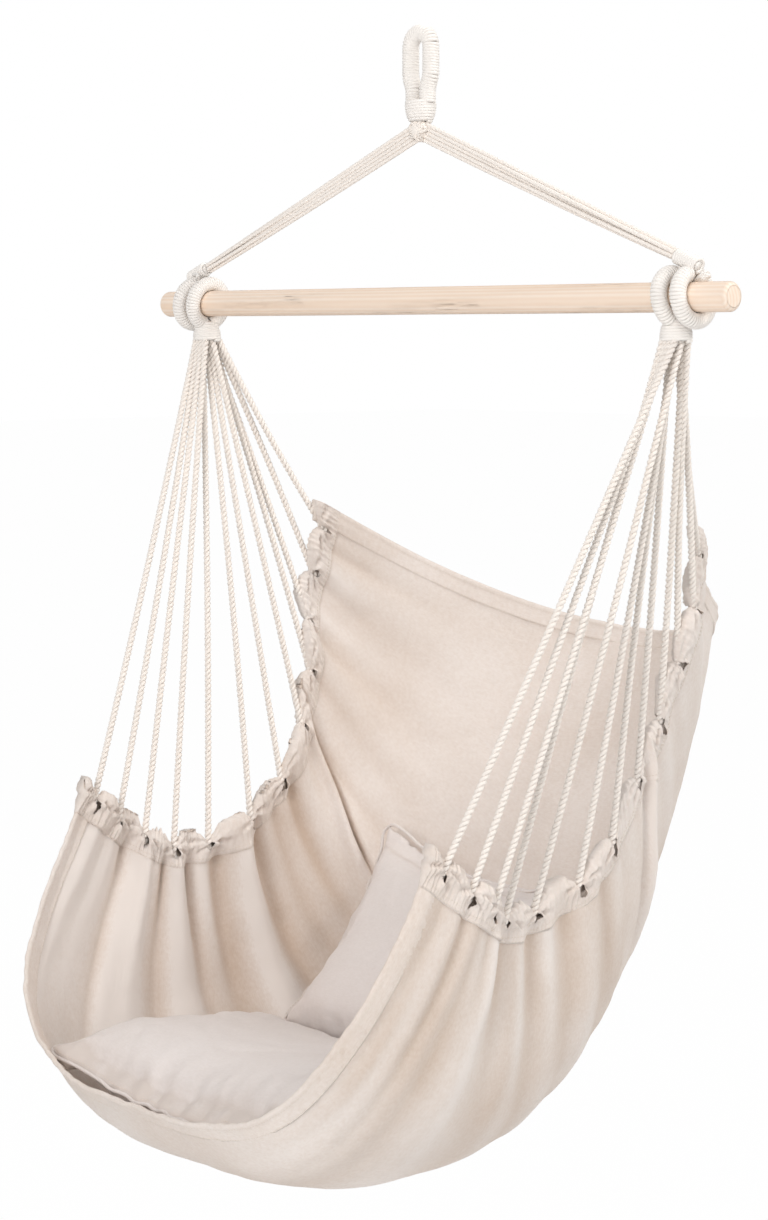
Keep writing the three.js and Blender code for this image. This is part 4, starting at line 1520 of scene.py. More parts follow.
@dataclass
class Sling:
    """Canvas, side casings, hems, their stitching and the fans of cords."""

    finishes: Finishes
    sizes: ChairSizes
    shape: SlingShape
    canvas: float = 0.0014
    canvas_inset: float = 0.028
    canvas_cuts: tuple[int, int] = (200, 236)
    crumpled: float = 0.0017
    streak_ends: tuple = ((0, 0.04, 0.60, 0.72), (0, 1, 1, 0.25))
    hem_width: float = 0.026
    hem_reach: float = 0.995
    hem_steps: tuple[int, int] = (500, 34)
    casing_puff: float = 0.0185
    casing_steps: tuple[int, int] = (860, 44)
    casing_wall: float = 0.0009
    casing_slit: float = 0.005
    slit_half_width: float = 0.0040
    slit_middle: float = 0.0148
    slit_reach: float = 0.0118
    slit_root: float = 0.008
    slit_depth: float = 0.021
    profile_power: float = 1.3
    cord: float = 0.0050
    cord_lay: float = 0.0150
    pair_lay: float = 0.0125
    layer_pitch: float = 0.006
    row_pitch: float = 0.0044
    layer_order: tuple[int, ...] = (3, 2, 1, 0, 3, 2, 1, 0, 2, 3, 1, 0)
    layers: int = 4
    bend: float = 0.004

    def apart(self, share: Array, first: Array, second: Array) -> Array:
        """Metres between two places along the cloth."""
        return np.linalg.norm(self.shape.point(share, first) - self.shape.point(share, second), axis=-1)

    def pace(self, share: Array, edge: int, small: float = 5e-3) -> Array:
        """Metres of cloth per unit of v at the lip, edge 0, or at the back hem, edge 1."""
        near = np.full_like(share, edge, dtype=float)
        return self.apart(share, near + (small if edge == 0 else -small), near) / small

    def streaks(self, share: Array, v: Array) -> Array:
        """Heights from about -1 to 1 of the faint draws that run down from the sides."""
        places = np.stack([share * 2.75, v * self.sizes.cloth_length * 36.0, np.full_like(v, 3.0)], axis=1)
        return noises(places) * ramp(np.abs(share), 0.25, 0.65) * np.interp(v, *self.streak_ends)

    def make_canvas(self) -> Piece:
        """The main cloth, one sheet from hem to hem.

        Returns:
            The cloth.
        """
        deselect()
        across, along = self.canvas_cuts
        bpy.ops.mesh.primitive_grid_add(x_subdivisions=across, y_subdivisions=along, size=2, calc_uvs=True)
        cloth = bpy.context.object
        cloth.name = "sling_canvas"
        grid = positions(cloth)
        v = 0.004 + 0.992 * self.shape.drawn_rows(grid[:, 0], (grid[:, 1] + 1) / 2)
        share = grid[:, 0] * (1 - self.canvas_inset / self.shape.width(v))
        normals = self.shape.normal(share, v)
        streak = self.streaks(share, v)
        points = self.shape.place(share, v) + normals * (0.0016 * streak)[:, None]
        height = sum(size * noises(points * scale) for scale, size in ((26.0, 0.6), (61.0, 0.3), (11.0, 1.1)))
        calm = np.minimum(1, (1 - np.abs(share)) * 12)
        place_points(cloth, points + normals * (self.crumpled * height * calm)[:, None])
        set_map(cloth.data, np.stack([share * self.shape.width(v), v * self.sizes.cloth_length], axis=1))
        apply_modifier(cloth, "SOLIDIFY", thickness=self.canvas, offset=0.0)
        bpy.ops.object.shade_smooth()
        made, count = positions(cloth), len(share)
        outer = np.sum((made[:count] - made[count : 2 * count]) * normals, axis=1) > 0
        # Painted shade in fold valleys and painted light on crests as seen from each face, so the sign turns
        # on the outer face; the streaks add a darker tone where they push the cloth outwards and a paler one
        # where they draw it in.
        painted_folds = np.where(outer, -1.0, 1.0) * self.shape.tint(share, v)
        set_shade(cloth, np.concatenate([painted_folds, -painted_folds]) + 0.30 * np.tile(streak, 2))
        return finish_piece(cloth, self.finishes.canvas, Body.SLING, ["sling_cloth"])

    def strip(self, name: str, steps: tuple[int, int], place: Placer, depth: float, across: bool) -> Piece:
        """A closed band: a ring-shaped profile carried along a seam.

        Args:
            name: Name of the piece.
            steps: Steps along the band, and points round its section.
            place: Gives points for shares along, shares of the depth and the face, 1 or -1.
            depth: The band's depth in metres, for its map.
            across: Whether it runs across the cloth and not along it.

        Returns:
            The band as a mesh object.
        """
        rows, profile = steps
        grid = np.meshgrid(np.linspace(0, 1, rows + 1), np.arange(profile) / profile, indexing="ij")
        along, around = (values.ravel() for values in grid)
        down = np.abs(2 * around - 1)
        points = place(along, down**self.profile_power, np.where(around < 0.5, 1.0, -1.0))
        index = np.arange((rows + 1) * profile).reshape(rows + 1, profile)
        ends = [index[0].tolist(), index[-1][::-1].tolist()]
        maps = np.stack([along - 0.5, down * depth] if across else [down * depth, along], axis=1)
        band = mesh_object(name, points, ring_faces(index, inside_out=True) + ends, maps)
        with edited(band) as mesh:
            bmesh.ops.recalc_face_normals(mesh, faces=mesh.faces)
        return band

    def side_pace(self, v: Array, small: float = 4e-3) -> Array:
        """Metres of edge per unit of v along the side, from points a small step away."""
        ahead, behind = np.minimum(v + small, 1), np.maximum(v - small, 0)
        return self.apart(np.ones_like(v), ahead, behind) / (ahead - behind)

    def slit_place(self, v: Array) -> tuple[Array, Array, Array]:
        """Where a place on the side is, seen from its nearest slit.

        Args:
            v: Places along the side.

        Returns:
            Signed metres from the slit, share of the way to the next puff's middle, and the
            slit's number.
        """
        cords = self.sizes.cords
        number = np.clip(np.floor(v * cords), 0, cords - 1).astype(int)
        away = (v - (number + 0.5) / cords) * self.side_pace(v)
        reach = np.abs(v * cords - number - 0.5) * 2
        return away, np.clip(reach, 0, 1), number

    def dome(self, reach: Array) -> Array:
        """Round height of a puff, steep at its slits and broad on top."""
        return np.sin(reach * np.pi / 2) ** 0.62

    def casing_foot_and_top(self, side: Side, v: Array) -> tuple[Array, Array]:
        """Where the casing begins and ends across the cloth.

        Args:
            side: The sling's side.
            v: Places along it.

        Returns:
            Shares of the cloth's width at the casing's foot and at its scalloped edge.
        """
        _, reach, number = self.slit_place(v)
        cords, dome = self.sizes.cords, self.dome(reach)
        depths = np.random.default_rng(31 + side.value).uniform(0.013, 0.019, cords)
        rise = np.random.default_rng(41 + side.value).uniform(-0.001, 0.005, cords + 1)
        ripple = 0.0010 * np.sin(v * 520 + 2.5 * np.sin(v * 61 + side.value))
        width = self.shape.width(v)
        top = 1 - (depths[number] * (1 - dome) - (eased(rise, v * cords) + ripple) * dome) / width
        return 1 - self.sizes.casing_depth / width, top

    def casing_out(self, side: Side, depth: Array, v: Array, face: Array | float) -> Array:
        """How far a face of the casing stands from the cloth's middle.

        Args:
            side: The sling's side.
            depth: Share of the way in from the edge.
            v: Place along the side.
            face: 1 for the outer face, -1 for the inner one.

        Returns:
            The signed offset in metres.
        """
        away, reach, number = self.slit_place(v)
        random = np.random.default_rng(51 + side.value)
        fulls = random.uniform(0.7, 1.15, self.sizes.cords + 1)
        turns = random.uniform(0, 2 * np.pi, self.sizes.cords)
        slants = random.uniform(-0.35, 0.35, self.sizes.cords)
        down = depth * self.sizes.casing_depth
        full = self.casing_puff * eased(fulls, v * self.sizes.cords)
        raised = np.maximum(self.dome(reach), 0.8 * smooth(down, 0.003, 0.009))
        depths = [0, 0.025, 0.08, 0.2, 0.42, 0.72, 0.92, 1.0]
        heights = [0.0, 0.5, 0.82, 1.0, 0.9, 0.5, 0.2, 0.11]
        half = (full - self.casing_slit * 0.5) * raised / 2 * np.interp(depth, depths, heights)
        slit = away - slants[number] * (down - self.slit_root)
        lips = 0.0022 * bell(np.abs(slit) - 0.0072, 0.0026) * ramp(-down, -0.026, -0.020)
        angle, far = np.arctan2(down - 0.004, slit), np.hypot(down - 0.004, slit)
        rays = np.sin(9 * angle + turns[number] + face) + 0.6 * np.sin(15 * angle + 2 * turns[number] - face)
        pleat = 0.0024 * np.sign(rays) * np.abs(rays) ** 0.8 * bell(far - 0.019, 0.012)
        gather = 0.0010 * np.sin(v * 610 + 3.1 * np.sin(v * 57) + face) * (0.6 + 0.4 * np.sin(v * 131))
        pucker = 0.0007 * np.sin(v * 940 + 2 * np.sin(v * 83)) * bell(depth - 0.88, 0.13)
        body = np.sin(np.pi * np.clip(depth, 0, 1)) ** 0.6
        half = half + self.casing_slit * 0.25 + (pleat + gather + pucker + lips) * body
        return face * np.maximum(half, np.interp(depth, [0, 0.02, 1.0], [0.0, 0.0009, 0.0012]))

    def in_slit(self, side: Side, depth: Array, v: Array, face: Array) -> Array:
        """Which places on the casing are in the almond openings that the cords come out of.

        Args:
            side: The sling's side.
            depth: Share of the way in from the edge.
            v: Place along the side.
            face: 1 for the outer face, -1 for the inner one.

        Returns:
            True for each place in an opening.
        """
        away, _, number = self.slit_place(v)
        slants = np.random.default_rng(51 + side.value).uniform(-0.35, 0.35, self.sizes.cords)
        down = depth * self.sizes.casing_depth
        sizes = np.random.default_rng(61 + side.value).uniform(0.7, 1.3, (3, self.sizes.cords))
        half = self.slit_half_width * sizes[(face > 0).astype(int), number]
        across = (away - slants[number] * 0.5 * (down - self.slit_root)) / half
        lengthwise = (down - self.slit_middle) / (self.slit_reach * sizes[2, number])
        return np.abs(across) ** 1.4 + lengthwise**2 < 1

    def open_slits(self, side: Side, band: Piece) -> None:
        """Cuts the openings, gives the hollow casing the cloth's thickness, and paints shade on its inside
        faces and light on its outside.

        Args:
            side: The sling's side.
            band: The casing.
        """
        rows, profile = self.casing_steps
        middles = ((np.arange(count) + 0.5) / count for count in (rows, profile))
        along, around = (values.ravel() for values in np.meshgrid(*middles, indexing="ij"))
        depth = np.abs(2 * around - 1) ** self.profile_power
        open_face = self.in_slit(side, depth, along, np.where(around < 0.5, 1.0, -1.0))
        with edited(band) as mesh:
            mesh.faces.ensure_lookup_table()
            gone = [mesh.faces[int(index)] for index in np.nonzero(open_face)[0]]
            bmesh.ops.delete(mesh, geom=gone, context="FACES")
        outer = len(band.data.vertices)
        apply_modifier(band, "SOLIDIFY", thickness=self.casing_wall, offset=-1.0)
        inside = np.arange(len(band.data.vertices)) >= outer
        # Painted shade on the inside faces seen through the openings, and painted light on the outside.
        set_shade(band, np.where(inside, 0.4, -0.12))
        bpy.ops.object.shade_smooth()

    def make_casing(self, side: Side) -> Piece:
        """A gathered side casing: puffs between the slits that the cords go into.

        Args:
            side: The sling's side.

        Returns:
            The casing.
        """

        def place(along: Array, depth: Array, face: Array) -> Array:
            """The casing's surface.

            Args:
                along: Shares of its length.
                depth: Shares of its depth.
                face: 1 for the outer face, -1 for the inner one.

            Returns:
                Points in metres.
            """
            foot, top = self.casing_foot_and_top(side, along)
            share = side.value * (top + (foot - top) * depth)
            return self.shape.place(share, along, self.casing_out(side, depth, along, face))

        name = f"side_casing_cloth_{side.label}"
        band = self.strip(name, self.casing_steps, place, self.sizes.casing_depth, False)
        self.open_slits(side, band)
        return finish_piece(band, self.finishes.canvas, Body.SLING, [f"side_casing_{side.label}"])

    def hem_row(self, share: Array, depth: Array | float, edge: int) -> tuple[Array, Array, Array]:
        """A hem's places, and how far it strays off the cloth's middle there.

        Args:
            share: Places across.
            depth: Share of the way from the free edge to the hem's foot.
            edge: 0 at the lip and 1 at the back.

        Returns:
            Places along the cloth, metres across it, and the stray in metres, most at the
            free edge.
        """
        width = self.hem_width / self.pace(share, edge)
        v = width * depth if edge == 0 else 1 - width * depth
        metres = share * self.shape.width(v)
        slow = 0.0011 * np.sin(metres * 38 + edge) + 0.0008 * np.sin(metres * 91 + 2 * np.sin(metres * 23))
        quick = 0.0005 * np.sin(metres * 260 + 3 * np.sin(metres * 41 + edge))
        return v, metres, (slow + quick) * np.exp(-depth * 1.5)

    def make_hem(self, edge: int) -> Piece:
        """A rolled hem.

        Args:
            edge: 0 at the lip and 1 at the back.

        Returns:
            The hem.
        """
        name, node = (("lip_hem", "front_hem"), ("back_edge_hem", "back_hem"))[edge]
        depths = [0, 0.03, 0.10, 0.18, 0.3, 0.85, 1.0]
        halves = [0.0, 0.0016, 0.0026, 0.0027, 0.0019, 0.0018, 0.0013]

        def place(along: Array, depth: Array, face: Array) -> Array:
            """The hem's surface.

            Args:
                along: Shares of its length.
                depth: Shares of its depth.
                face: 1 for the outer face, -1 for the inner one.

            Returns:
                Points in metres.
            """
            share = (2 * along - 1) * self.hem_reach
            v, metres, wander = self.hem_row(share, depth, edge)
            pucker = 0.00035 * np.sin(metres * 700 + 2 * np.sin(metres * 90)) * bell(depth - 0.85, 0.2)
            gathered = 0.0006 * ramp(np.abs(share), 0.70, 0.85) * np.sin(np.pi * np.minimum(1, depth / 0.9))
            half = np.interp(depth, depths, halves) + pucker + gathered
            return self.shape.place(share, v, face * half + wander)

        band = self.strip(name, self.hem_steps, place, self.hem_width, True)
        return finish_piece(band, self.finishes.canvas, Body.SLING, [node])

    def make_stitching(self) -> None:
        """Double rows at the foot of each casing and of each hem, on both faces."""
        stitching = Stitching()
        v = np.linspace(0.004, 0.996, 900)
        for side in Side:
            foot, top = self.casing_foot_and_top(side, v)
            for face in (1.0, -1.0):
                for depth in (0.83, 0.95):
                    share = side.value * (top + (foot - top) * depth)
                    out = self.casing_out(side, np.full_like(v, depth), v, face) + face * 0.0002
                    stitching.row(self.shape.place(share, v, out), self.shape.normal(share, v) * face)
        share = np.linspace(-0.9, 0.9, 420)
        for edge in (0, 1):
            for face in (1.0, -1.0):
                for depth, half in ((0.24, 0.0023), (0.9, 0.0018)):
                    v, _, wander = self.hem_row(share, depth, edge)
                    path = self.shape.place(share, v, face * half + wander)
                    stitching.row(path, self.shape.normal(share, v) * face)
        finish_piece(stitching.object("seam_stitching"), self.finishes.thread, Body.SLING)

    def cord_ends(self, side: Side, number: int) -> tuple[list[Array], Array]:
        """Where a fan cord starts and turns.

        Args:
            side: The sling's side.
            number: The cord's number.

        Returns:
            Its starts in the neck, and its turn inside the slit.
        """
        sizes = self.sizes
        layer = self.layer_order[number] - (self.layers - 1) / 2
        row = 2 * (number // self.layers) - sizes.cords / self.layers + 0.5
        v = np.array([(number + 0.5) / sizes.cords])
        slit = self.shape.place(side.value * (1 - self.slit_depth / self.shape.width(v)), v)[0]
        x = side.value * (sizes.neck_x + layer * self.layer_pitch * 0.92)
        neck = [np.array([x, (row + leg) * self.row_pitch, sizes.neck_foot + 0.006]) for leg in (0, 1)]
        toward = unit((neck[0] + neck[1]) / 2 - slit)
        ahead, behind = (self.shape.place(side.value, v + small)[0] for small in (4e-3, -4e-3))
        along = unit(ahead - behind)
        along = unit(along - toward * along.dot(toward))
        turn = np.linspace(0, np.pi, 9)[:, None]
        return neck, slit - self.bend * (along * 0.62 * np.cos(turn) + toward * np.sin(turn))

    def cord_path(self, side: Side, number: int) -> Array:
        """A fan cord's line: from the neck into a slit of the casing, round and back.

        Args:
            side: The sling's side.
            number: The cord's number.

        Returns:
            Its points.
        """
        random = np.random.default_rng(100 * (2 + side.value) + number)
        neck, arc = self.cord_ends(side, number)
        top, low = (neck[0] + neck[1]) / 2, (arc[0] + arc[-1]) / 2
        length = np.linalg.norm(low - top)
        axis = (low - top) / length
        first = unit(neck[1] - neck[0] - axis * (neck[1] - neck[0]).dot(axis))
        second = np.cross(axis, first)
        last = unit(arc[-1] - arc[0])
        turned = math.atan2(last.dot(second), last.dot(first)) + 2 * np.pi * round(length / self.pair_lay)
        t = np.linspace(0, 1, int(length / 0.0011))[:, None]
        close = self.cord * 0.70
        gaps = [np.linalg.norm(neck[1] - neck[0]), close, close, np.linalg.norm(arc[-1] - arc[0])]
        bow = random.uniform(-0.003, 0.003) * first + random.uniform(-0.003, 0.003) * second
        middle = top + (low - top) * t + bow * np.sin(np.pi * t)
        apart = np.interp(t, [0, 0.06, 0.955, 1], gaps) / 2
        half = apart * (np.cos(turned * t) * first + np.sin(turned * t) * second)
        return np.vstack([(middle - half)[:-1], arc, (middle + half)[::-1][1:]])

    def make_fans(self) -> None:
        """Twelve doubled cords at each side."""
        rope = Rope(self.cord, self.cord_lay, strands=2, depth=0.08)
        for side in Side:
            for number in range(self.sizes.cords):
                name = f"{side.label}_{number + 1}"
                cord = rope.tube(f"fan_rope_{name}", self.cord_path(side, number))
                finish_piece(cord, self.finishes.cord, Body.SLING, [f"fan_cord_{name}"])

    def make(self) -> None:
        """Makes the sling and its fans."""
        cloth = self.make_canvas()
        extras = [self.make_casing(side) for side in Side] + [self.make_hem(edge) for edge in (0, 1)]
        self.make_stitching()
        self.make_fans()


# Cushions


@dataclass
class Cushion:
    """A loose cushion with a crown on both faces, drawn-in sides and a sewn edge.

    The pulls are how far each edge is drawn in at its middle, and the borders are how wide its
    flat border is. The plain form, with one pull all round, gives the solid's box.
    """

    name: str
    node: str
    body: Body
    width: float
    length: float
    thickness: float
    pitch: float
    seed: int
    top_pull: float = 0.014
    far_pull: float = 0.014
    near_pull: float = 0.014
    meeting_pull: float = 0.014
    droop: float = 0.0
    rear_lift: float = 0.0
    crinkle: float = 0.0052
    side_border: float = 0.0
    foot_border: float = 0.0
    top_border: float = 0.0
    pull: float = 0.014
    edge: float = 0.008
    dish: float = 0.030
    crown: float = 0.6
    swell: float = 0.008
    voxel: float = 0.005
    cuts: int = 31
    slack: float = 0.9
    fill_steps: int = 20

    def form(self, flat: Array, slack: float) -> Array:
        """Points of the cushion for places in a cube from -1 to 1.

        Args:
            flat: Places in the cube.
            slack: Share of the full crown; the plain form has it all.

        Returns:
            Points in metres, before the cushion is turned into place.
        """
        x, y, z = np.clip(flat, -1, 1).T
        dressed = slack < 1
        pulls = (self.far_pull, self.near_pull, self.top_pull, self.meeting_pull)
        far, near, top, foot = pulls if dressed else [self.pull] * 4
        pull_x = np.where(x < 0, far, near) * (1 - y * y)
        pull_y = np.where(y > 0, top, foot) * (1 - x * x)
        across = 1 - self.side_border * dressed / (self.width / 2)
        along = 1 - np.where(y > 0, self.top_border, self.foot_border) * dressed / (self.length / 2)
        rows, columns = (1 - np.minimum(np.abs(a) / b, 1) ** 4 for a, b in ((x, across), (y, along)))
        full = self.edge + (self.thickness * slack - self.edge) * (rows * columns) ** self.crown
        low = self.droop * np.clip(-y, 0, 1) ** 3 * (1 - 0.6 * x * x)
        low = low - self.rear_lift * np.clip(y, 0, 1) ** 2 * ramp(x, -0.5, 0.8)
        height = z * full / 2 + self.dish * x * x - low * dressed
        return np.stack([x * (self.width / 2 - pull_x), y * (self.length / 2 - pull_y), height], axis=1)

    def placed(self, points: Array) -> Array:
        """Points turned by the cushion's pitch and set where its solid is.

        Args:
            points: Points of the form.

        Returns:
            Points in the chair's frame.
        """
        turn = rotation(self.pitch, "X")
        axis = np.linspace(-1, 1, 21)
        cube = np.stack(np.meshgrid(axis, axis, [-1.0, 1.0], indexing="ij"), axis=-1).reshape(-1, 3)
        solid = self.form(cube, 1.0) @ turn.T
        low, high = (np.array(corner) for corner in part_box(self.node))
        return points @ turn.T + (low + high) / 2 - (solid.min(axis=0) + solid.max(axis=0)) / 2

    def inflate(self, pad: Piece) -> None:
        """Lets the filling press the cover out for a few steps, with the swell capped.

        Args:
            pad: The cushion.
        """
        start = positions(pad)
        take(pad)
        cloth = pad.modifiers.new("filling", "CLOTH")
        stiffness = {"tension_stiffness": 18, "compression_stiffness": 6, "bending_stiffness": 0.25}
        pressure = {"use_pressure": True, "uniform_pressure_force": 4.0}
        for key, value in ({"quality": 4, "mass": 0.25} | stiffness | pressure).items():
            setattr(cloth.settings, key, value)
        cloth.settings.effector_weights.gravity = 0.0
        cloth.collision_settings.use_collision = False
        cloth.point_cache.frame_start, cloth.point_cache.frame_end = 1, self.fill_steps
        scene = bpy.context.scene
        for number in range(1, self.fill_steps + 1):
            scene.frame_set(number)
        move = positions(pad.evaluated_get(bpy.context.evaluated_depsgraph_get())) - start
        far = np.linalg.norm(move, axis=1, keepdims=True)
        move *= np.minimum(1, self.swell / np.maximum(far, 1e-9)) * np.array([0.3, 0.3, 1.0])
        pad.modifiers.clear()
        scene.frame_set(1)
        place_points(pad, start + move)

    def rim(self, points: Array, inside: float = 0.0) -> Array:
        """Metres from the sewn edge, or from the seam where the flat border starts.

        Args:
            points: Points of the form.
            inside: 0 for the edge and 1 for the seam.

        Returns:
            Metres, less than 0 outside.
        """
        half_x, half_y = self.width / 2, self.length / 2
        x, y = points[:, 0] / half_x, points[:, 1] / half_y
        far = half_x - np.where(x < 0, self.far_pull, self.near_pull) * (1 - y * y) - np.abs(points[:, 0])
        deep = half_y - np.where(y > 0, self.top_pull, self.meeting_pull) * (1 - x * x) - np.abs(points[:, 1])
        deep = deep - inside * np.where(y > 0, self.top_border, self.foot_border)
        return np.minimum(far - inside * self.side_border, deep)

    def edge_shade(self, points: Array) -> Array:
        """A darker tone on the flat border, and painted shade in the gathers beside the seam and along the
        seam's groove.

        Args:
            points: Points of the form.

        Returns:
            Shares of the finish's second tone.
        """
        inner = self.rim(points, 1.0)
        flat = points * np.array([40, 40, 0]) + self.seed * UP
        spots = noises(flat)
        border = ramp(-inner, 0, 0.003) * (self.foot_border > 0)
        # Painted shade in the gathers near the seam.
        gathers = 0.3 * np.maximum(spots, 0) * bell(inner, 0.03, 1.0)
        # Painted shade along the seam's groove, on top of the border's darker tone.
        return (0.7 + 0.6 * spots) * border + gathers + 0.5 * bell(inner, 0.0022)

    def creases(self, points: Array, band: Array) -> Array:
        """Soft dents and narrow creases of handled cloth over a loose filling.

        Args:
            points: Points of the form.
            band: 1 on the flat border and 0 on the crown.

        Returns:
            Heights in metres.
        """
        shift = self.seed * 1.7
        spots = points * np.array([9, 9, 5]) + np.array([shift, 0, 0])
        warp = noises(spots * 0.6)[:, None] * np.array([1.4, 1.4, 0])
        ridge = ramp(1 - np.abs(noises(spots * 1.7 + warp)), 0.82, 1.0)
        soft = 0.0040 * noises(spots * 0.45 + np.array([3, 1, shift])) + 0.0014 * noises(spots * 1.9)
        return soft - 0.0013 * ridge + band * 0.0034 * noises(spots * 3.1)

    def wrinkle(self, points: Array, normals: Array) -> Array:
        """Gathers along the sewn edge and soft creases on the faces.

        Args:
            points: Points of the form.
            normals: Their outward directions.

        Returns:
            The moved points.
        """
        x, y = np.abs(points[:, 0]) / (self.width / 2), np.abs(points[:, 1]) / (self.length / 2)
        rim, inner = np.maximum(self.rim(points), 0), self.rim(points, 1.0)
        along = np.where(x > y, points[:, 1], points[:, 0])
        shift = self.seed * 1.7
        depth = np.full_like(rim, shift)
        loose = noises(np.stack([along * 24, rim * 15, depth], axis=1))
        loose = loose + 0.7 * noises(np.stack([along * 61, rim * 30, depth], axis=1))
        ripple = 0.0009 * np.sin(along * 330 + 2.4 * np.sin(along * 47 + shift)) * (0.5 + np.abs(loose))
        gather = ripple * bell(np.maximum(rim - 0.004, 0), 0.014, 1.0)
        gather = gather + self.crinkle * loose * bell(rim, 0.034, 1.0)
        band = np.clip(0.5 - inner / 0.006, 0, 1) * (self.top_border + self.foot_border > 0)
        groove = -0.0016 * bell(inner, 0.0034)
        crease = self.creases(points, band) * np.maximum(np.minimum(1, rim / 0.05), band)
        return points + normals * (gather + groove + crease)[:, None]

    def make_cover(self) -> Piece:
        """The filled cover, before it is turned into place.

        Returns:
            The cover.
        """
        deselect()
        bpy.ops.mesh.primitive_cube_add(size=2)
        pad = bpy.context.object
        pad.name = self.name
        bpy.ops.object.mode_set(mode="EDIT")
        bpy.ops.mesh.select_all(action="SELECT")
        bpy.ops.mesh.subdivide(number_cuts=self.cuts)
        bpy.ops.object.mode_set(mode="OBJECT")
        cube = positions(pad)
        cube[:, :2] = np.sin(cube[:, :2] * np.pi / 2)
        place_points(pad, self.form(cube, self.slack))
        apply_modifier(pad, "REMESH", mode="VOXEL", voxel_size=self.voxel)
        self.inflate(pad)
        place_points(pad, self.wrinkle(positions(pad), positions(pad, "normal")))
        apply_modifier(pad, "SUBSURF", levels=1, render_levels=1)
        set_shade(pad, self.edge_shade(positions(pad)))
        return pad

    def make(self, finishes: Finishes) -> None:
        """Makes the cushion with its seam.

        Args:
            finishes: The materials.
        """
        pad = self.make_cover()
        seam, thread = self.make_seam(positions(pad))
        place_points(pad, self.placed(positions(pad)))
        set_map(pad.data, (positions(pad) @ rotation(self.pitch, "X"))[:, :2])
        take(pad)
        bpy.ops.object.shade_smooth()
        finish_piece(pad, finishes.cover, self.body, [self.node])
        finish_piece(seam, finishes.cover, self.body)
        finish_piece(thread, finishes.thread, self.body)

    def seam_line(self, points: Array, out: Array, rim: Array) -> Array:
        """The line along the cover's widest points.

        Args:
            points: The cover's points.
            out: Outward directions round the edge.
            rim: Points of the form's edge in those directions.

        Returns:
            The line's points.
        """
        line = np.empty_like(rim)
        for index, (spot, way) in enumerate(zip(rim, out)):
            away = points - spot
            along = away @ way
            near = np.linalg.norm(away - along[:, None] * way, axis=1) < 0.009
            best = np.argmax(np.where(near & (np.abs(along) < 0.05), along, -1.0))
            line[index] = spot + way * (along[best] - 0.0004)
            line[index, 2] = points[best, 2]
        for _ in range(6):
            line = (np.roll(line, 1, axis=0) + line * 2 + np.roll(line, -1, axis=0)) / 4
        metres = np.arange(len(line)) * 0.003
        line[:, 2] += 0.0009 * np.sin(metres * 190 + self.seed) + 0.0007 * np.sin(metres * 61)
        return line

    def make_seam(self, points: Array) -> tuple[Piece, Piece]:
        """The ridge and the stitches that run round the cushion's edge.

        Args:
            points: The cushion's points before it is set in place.

        Returns:
            The ridge and the row of stitches.
        """
        turn = np.linspace(0, 2 * np.pi, 481)[:-1]
        square = np.stack([np.cos(turn), np.sin(turn)], axis=1)
        square = np.column_stack([square / np.max(np.abs(square), axis=1, keepdims=True), 0 * turn])
        out = unit(square)
        line = self.seam_line(points, out, self.form(square, self.slack))
        closed = self.placed(np.vstack([line, line[:1]]))
        rope = Rope(0.0042, 0.05, strands=4, steps_per_lay=22, depth=0.12)
        ridge = rope.tube(f"{self.name}_seam", closed, closed=True)
        stitching = Stitching()
        outward = unit(out * 0.6 + UP) @ rotation(self.pitch, "X").T
        stitching.row(self.placed(line - out * 0.004 + UP * 0.0045), outward)
        return ridge, stitching.object(f"{self.name}_stitches")


# Studio


@dataclass(frozen=True)
class Lamp:
    """A square soft lamp."""

    name: str
    place: Triple
    size: float
    watts: float
    warmth: Triple

    def make(self, aim: Vector) -> None:
        """Adds the lamp.

        Args:
            aim: The point that it is turned to.
        """
        deselect()
        bpy.ops.object.light_add(type="AREA", location=self.place)
        lamp = bpy.context.object
        lamp.name = self.name
        lamp.data.size, lamp.data.energy, lamp.data.color = self.size, self.watts, self.warmth
        lamp.rotation_euler = (Vector(self.place) - aim).to_track_quat("Z", "Y").to_euler()


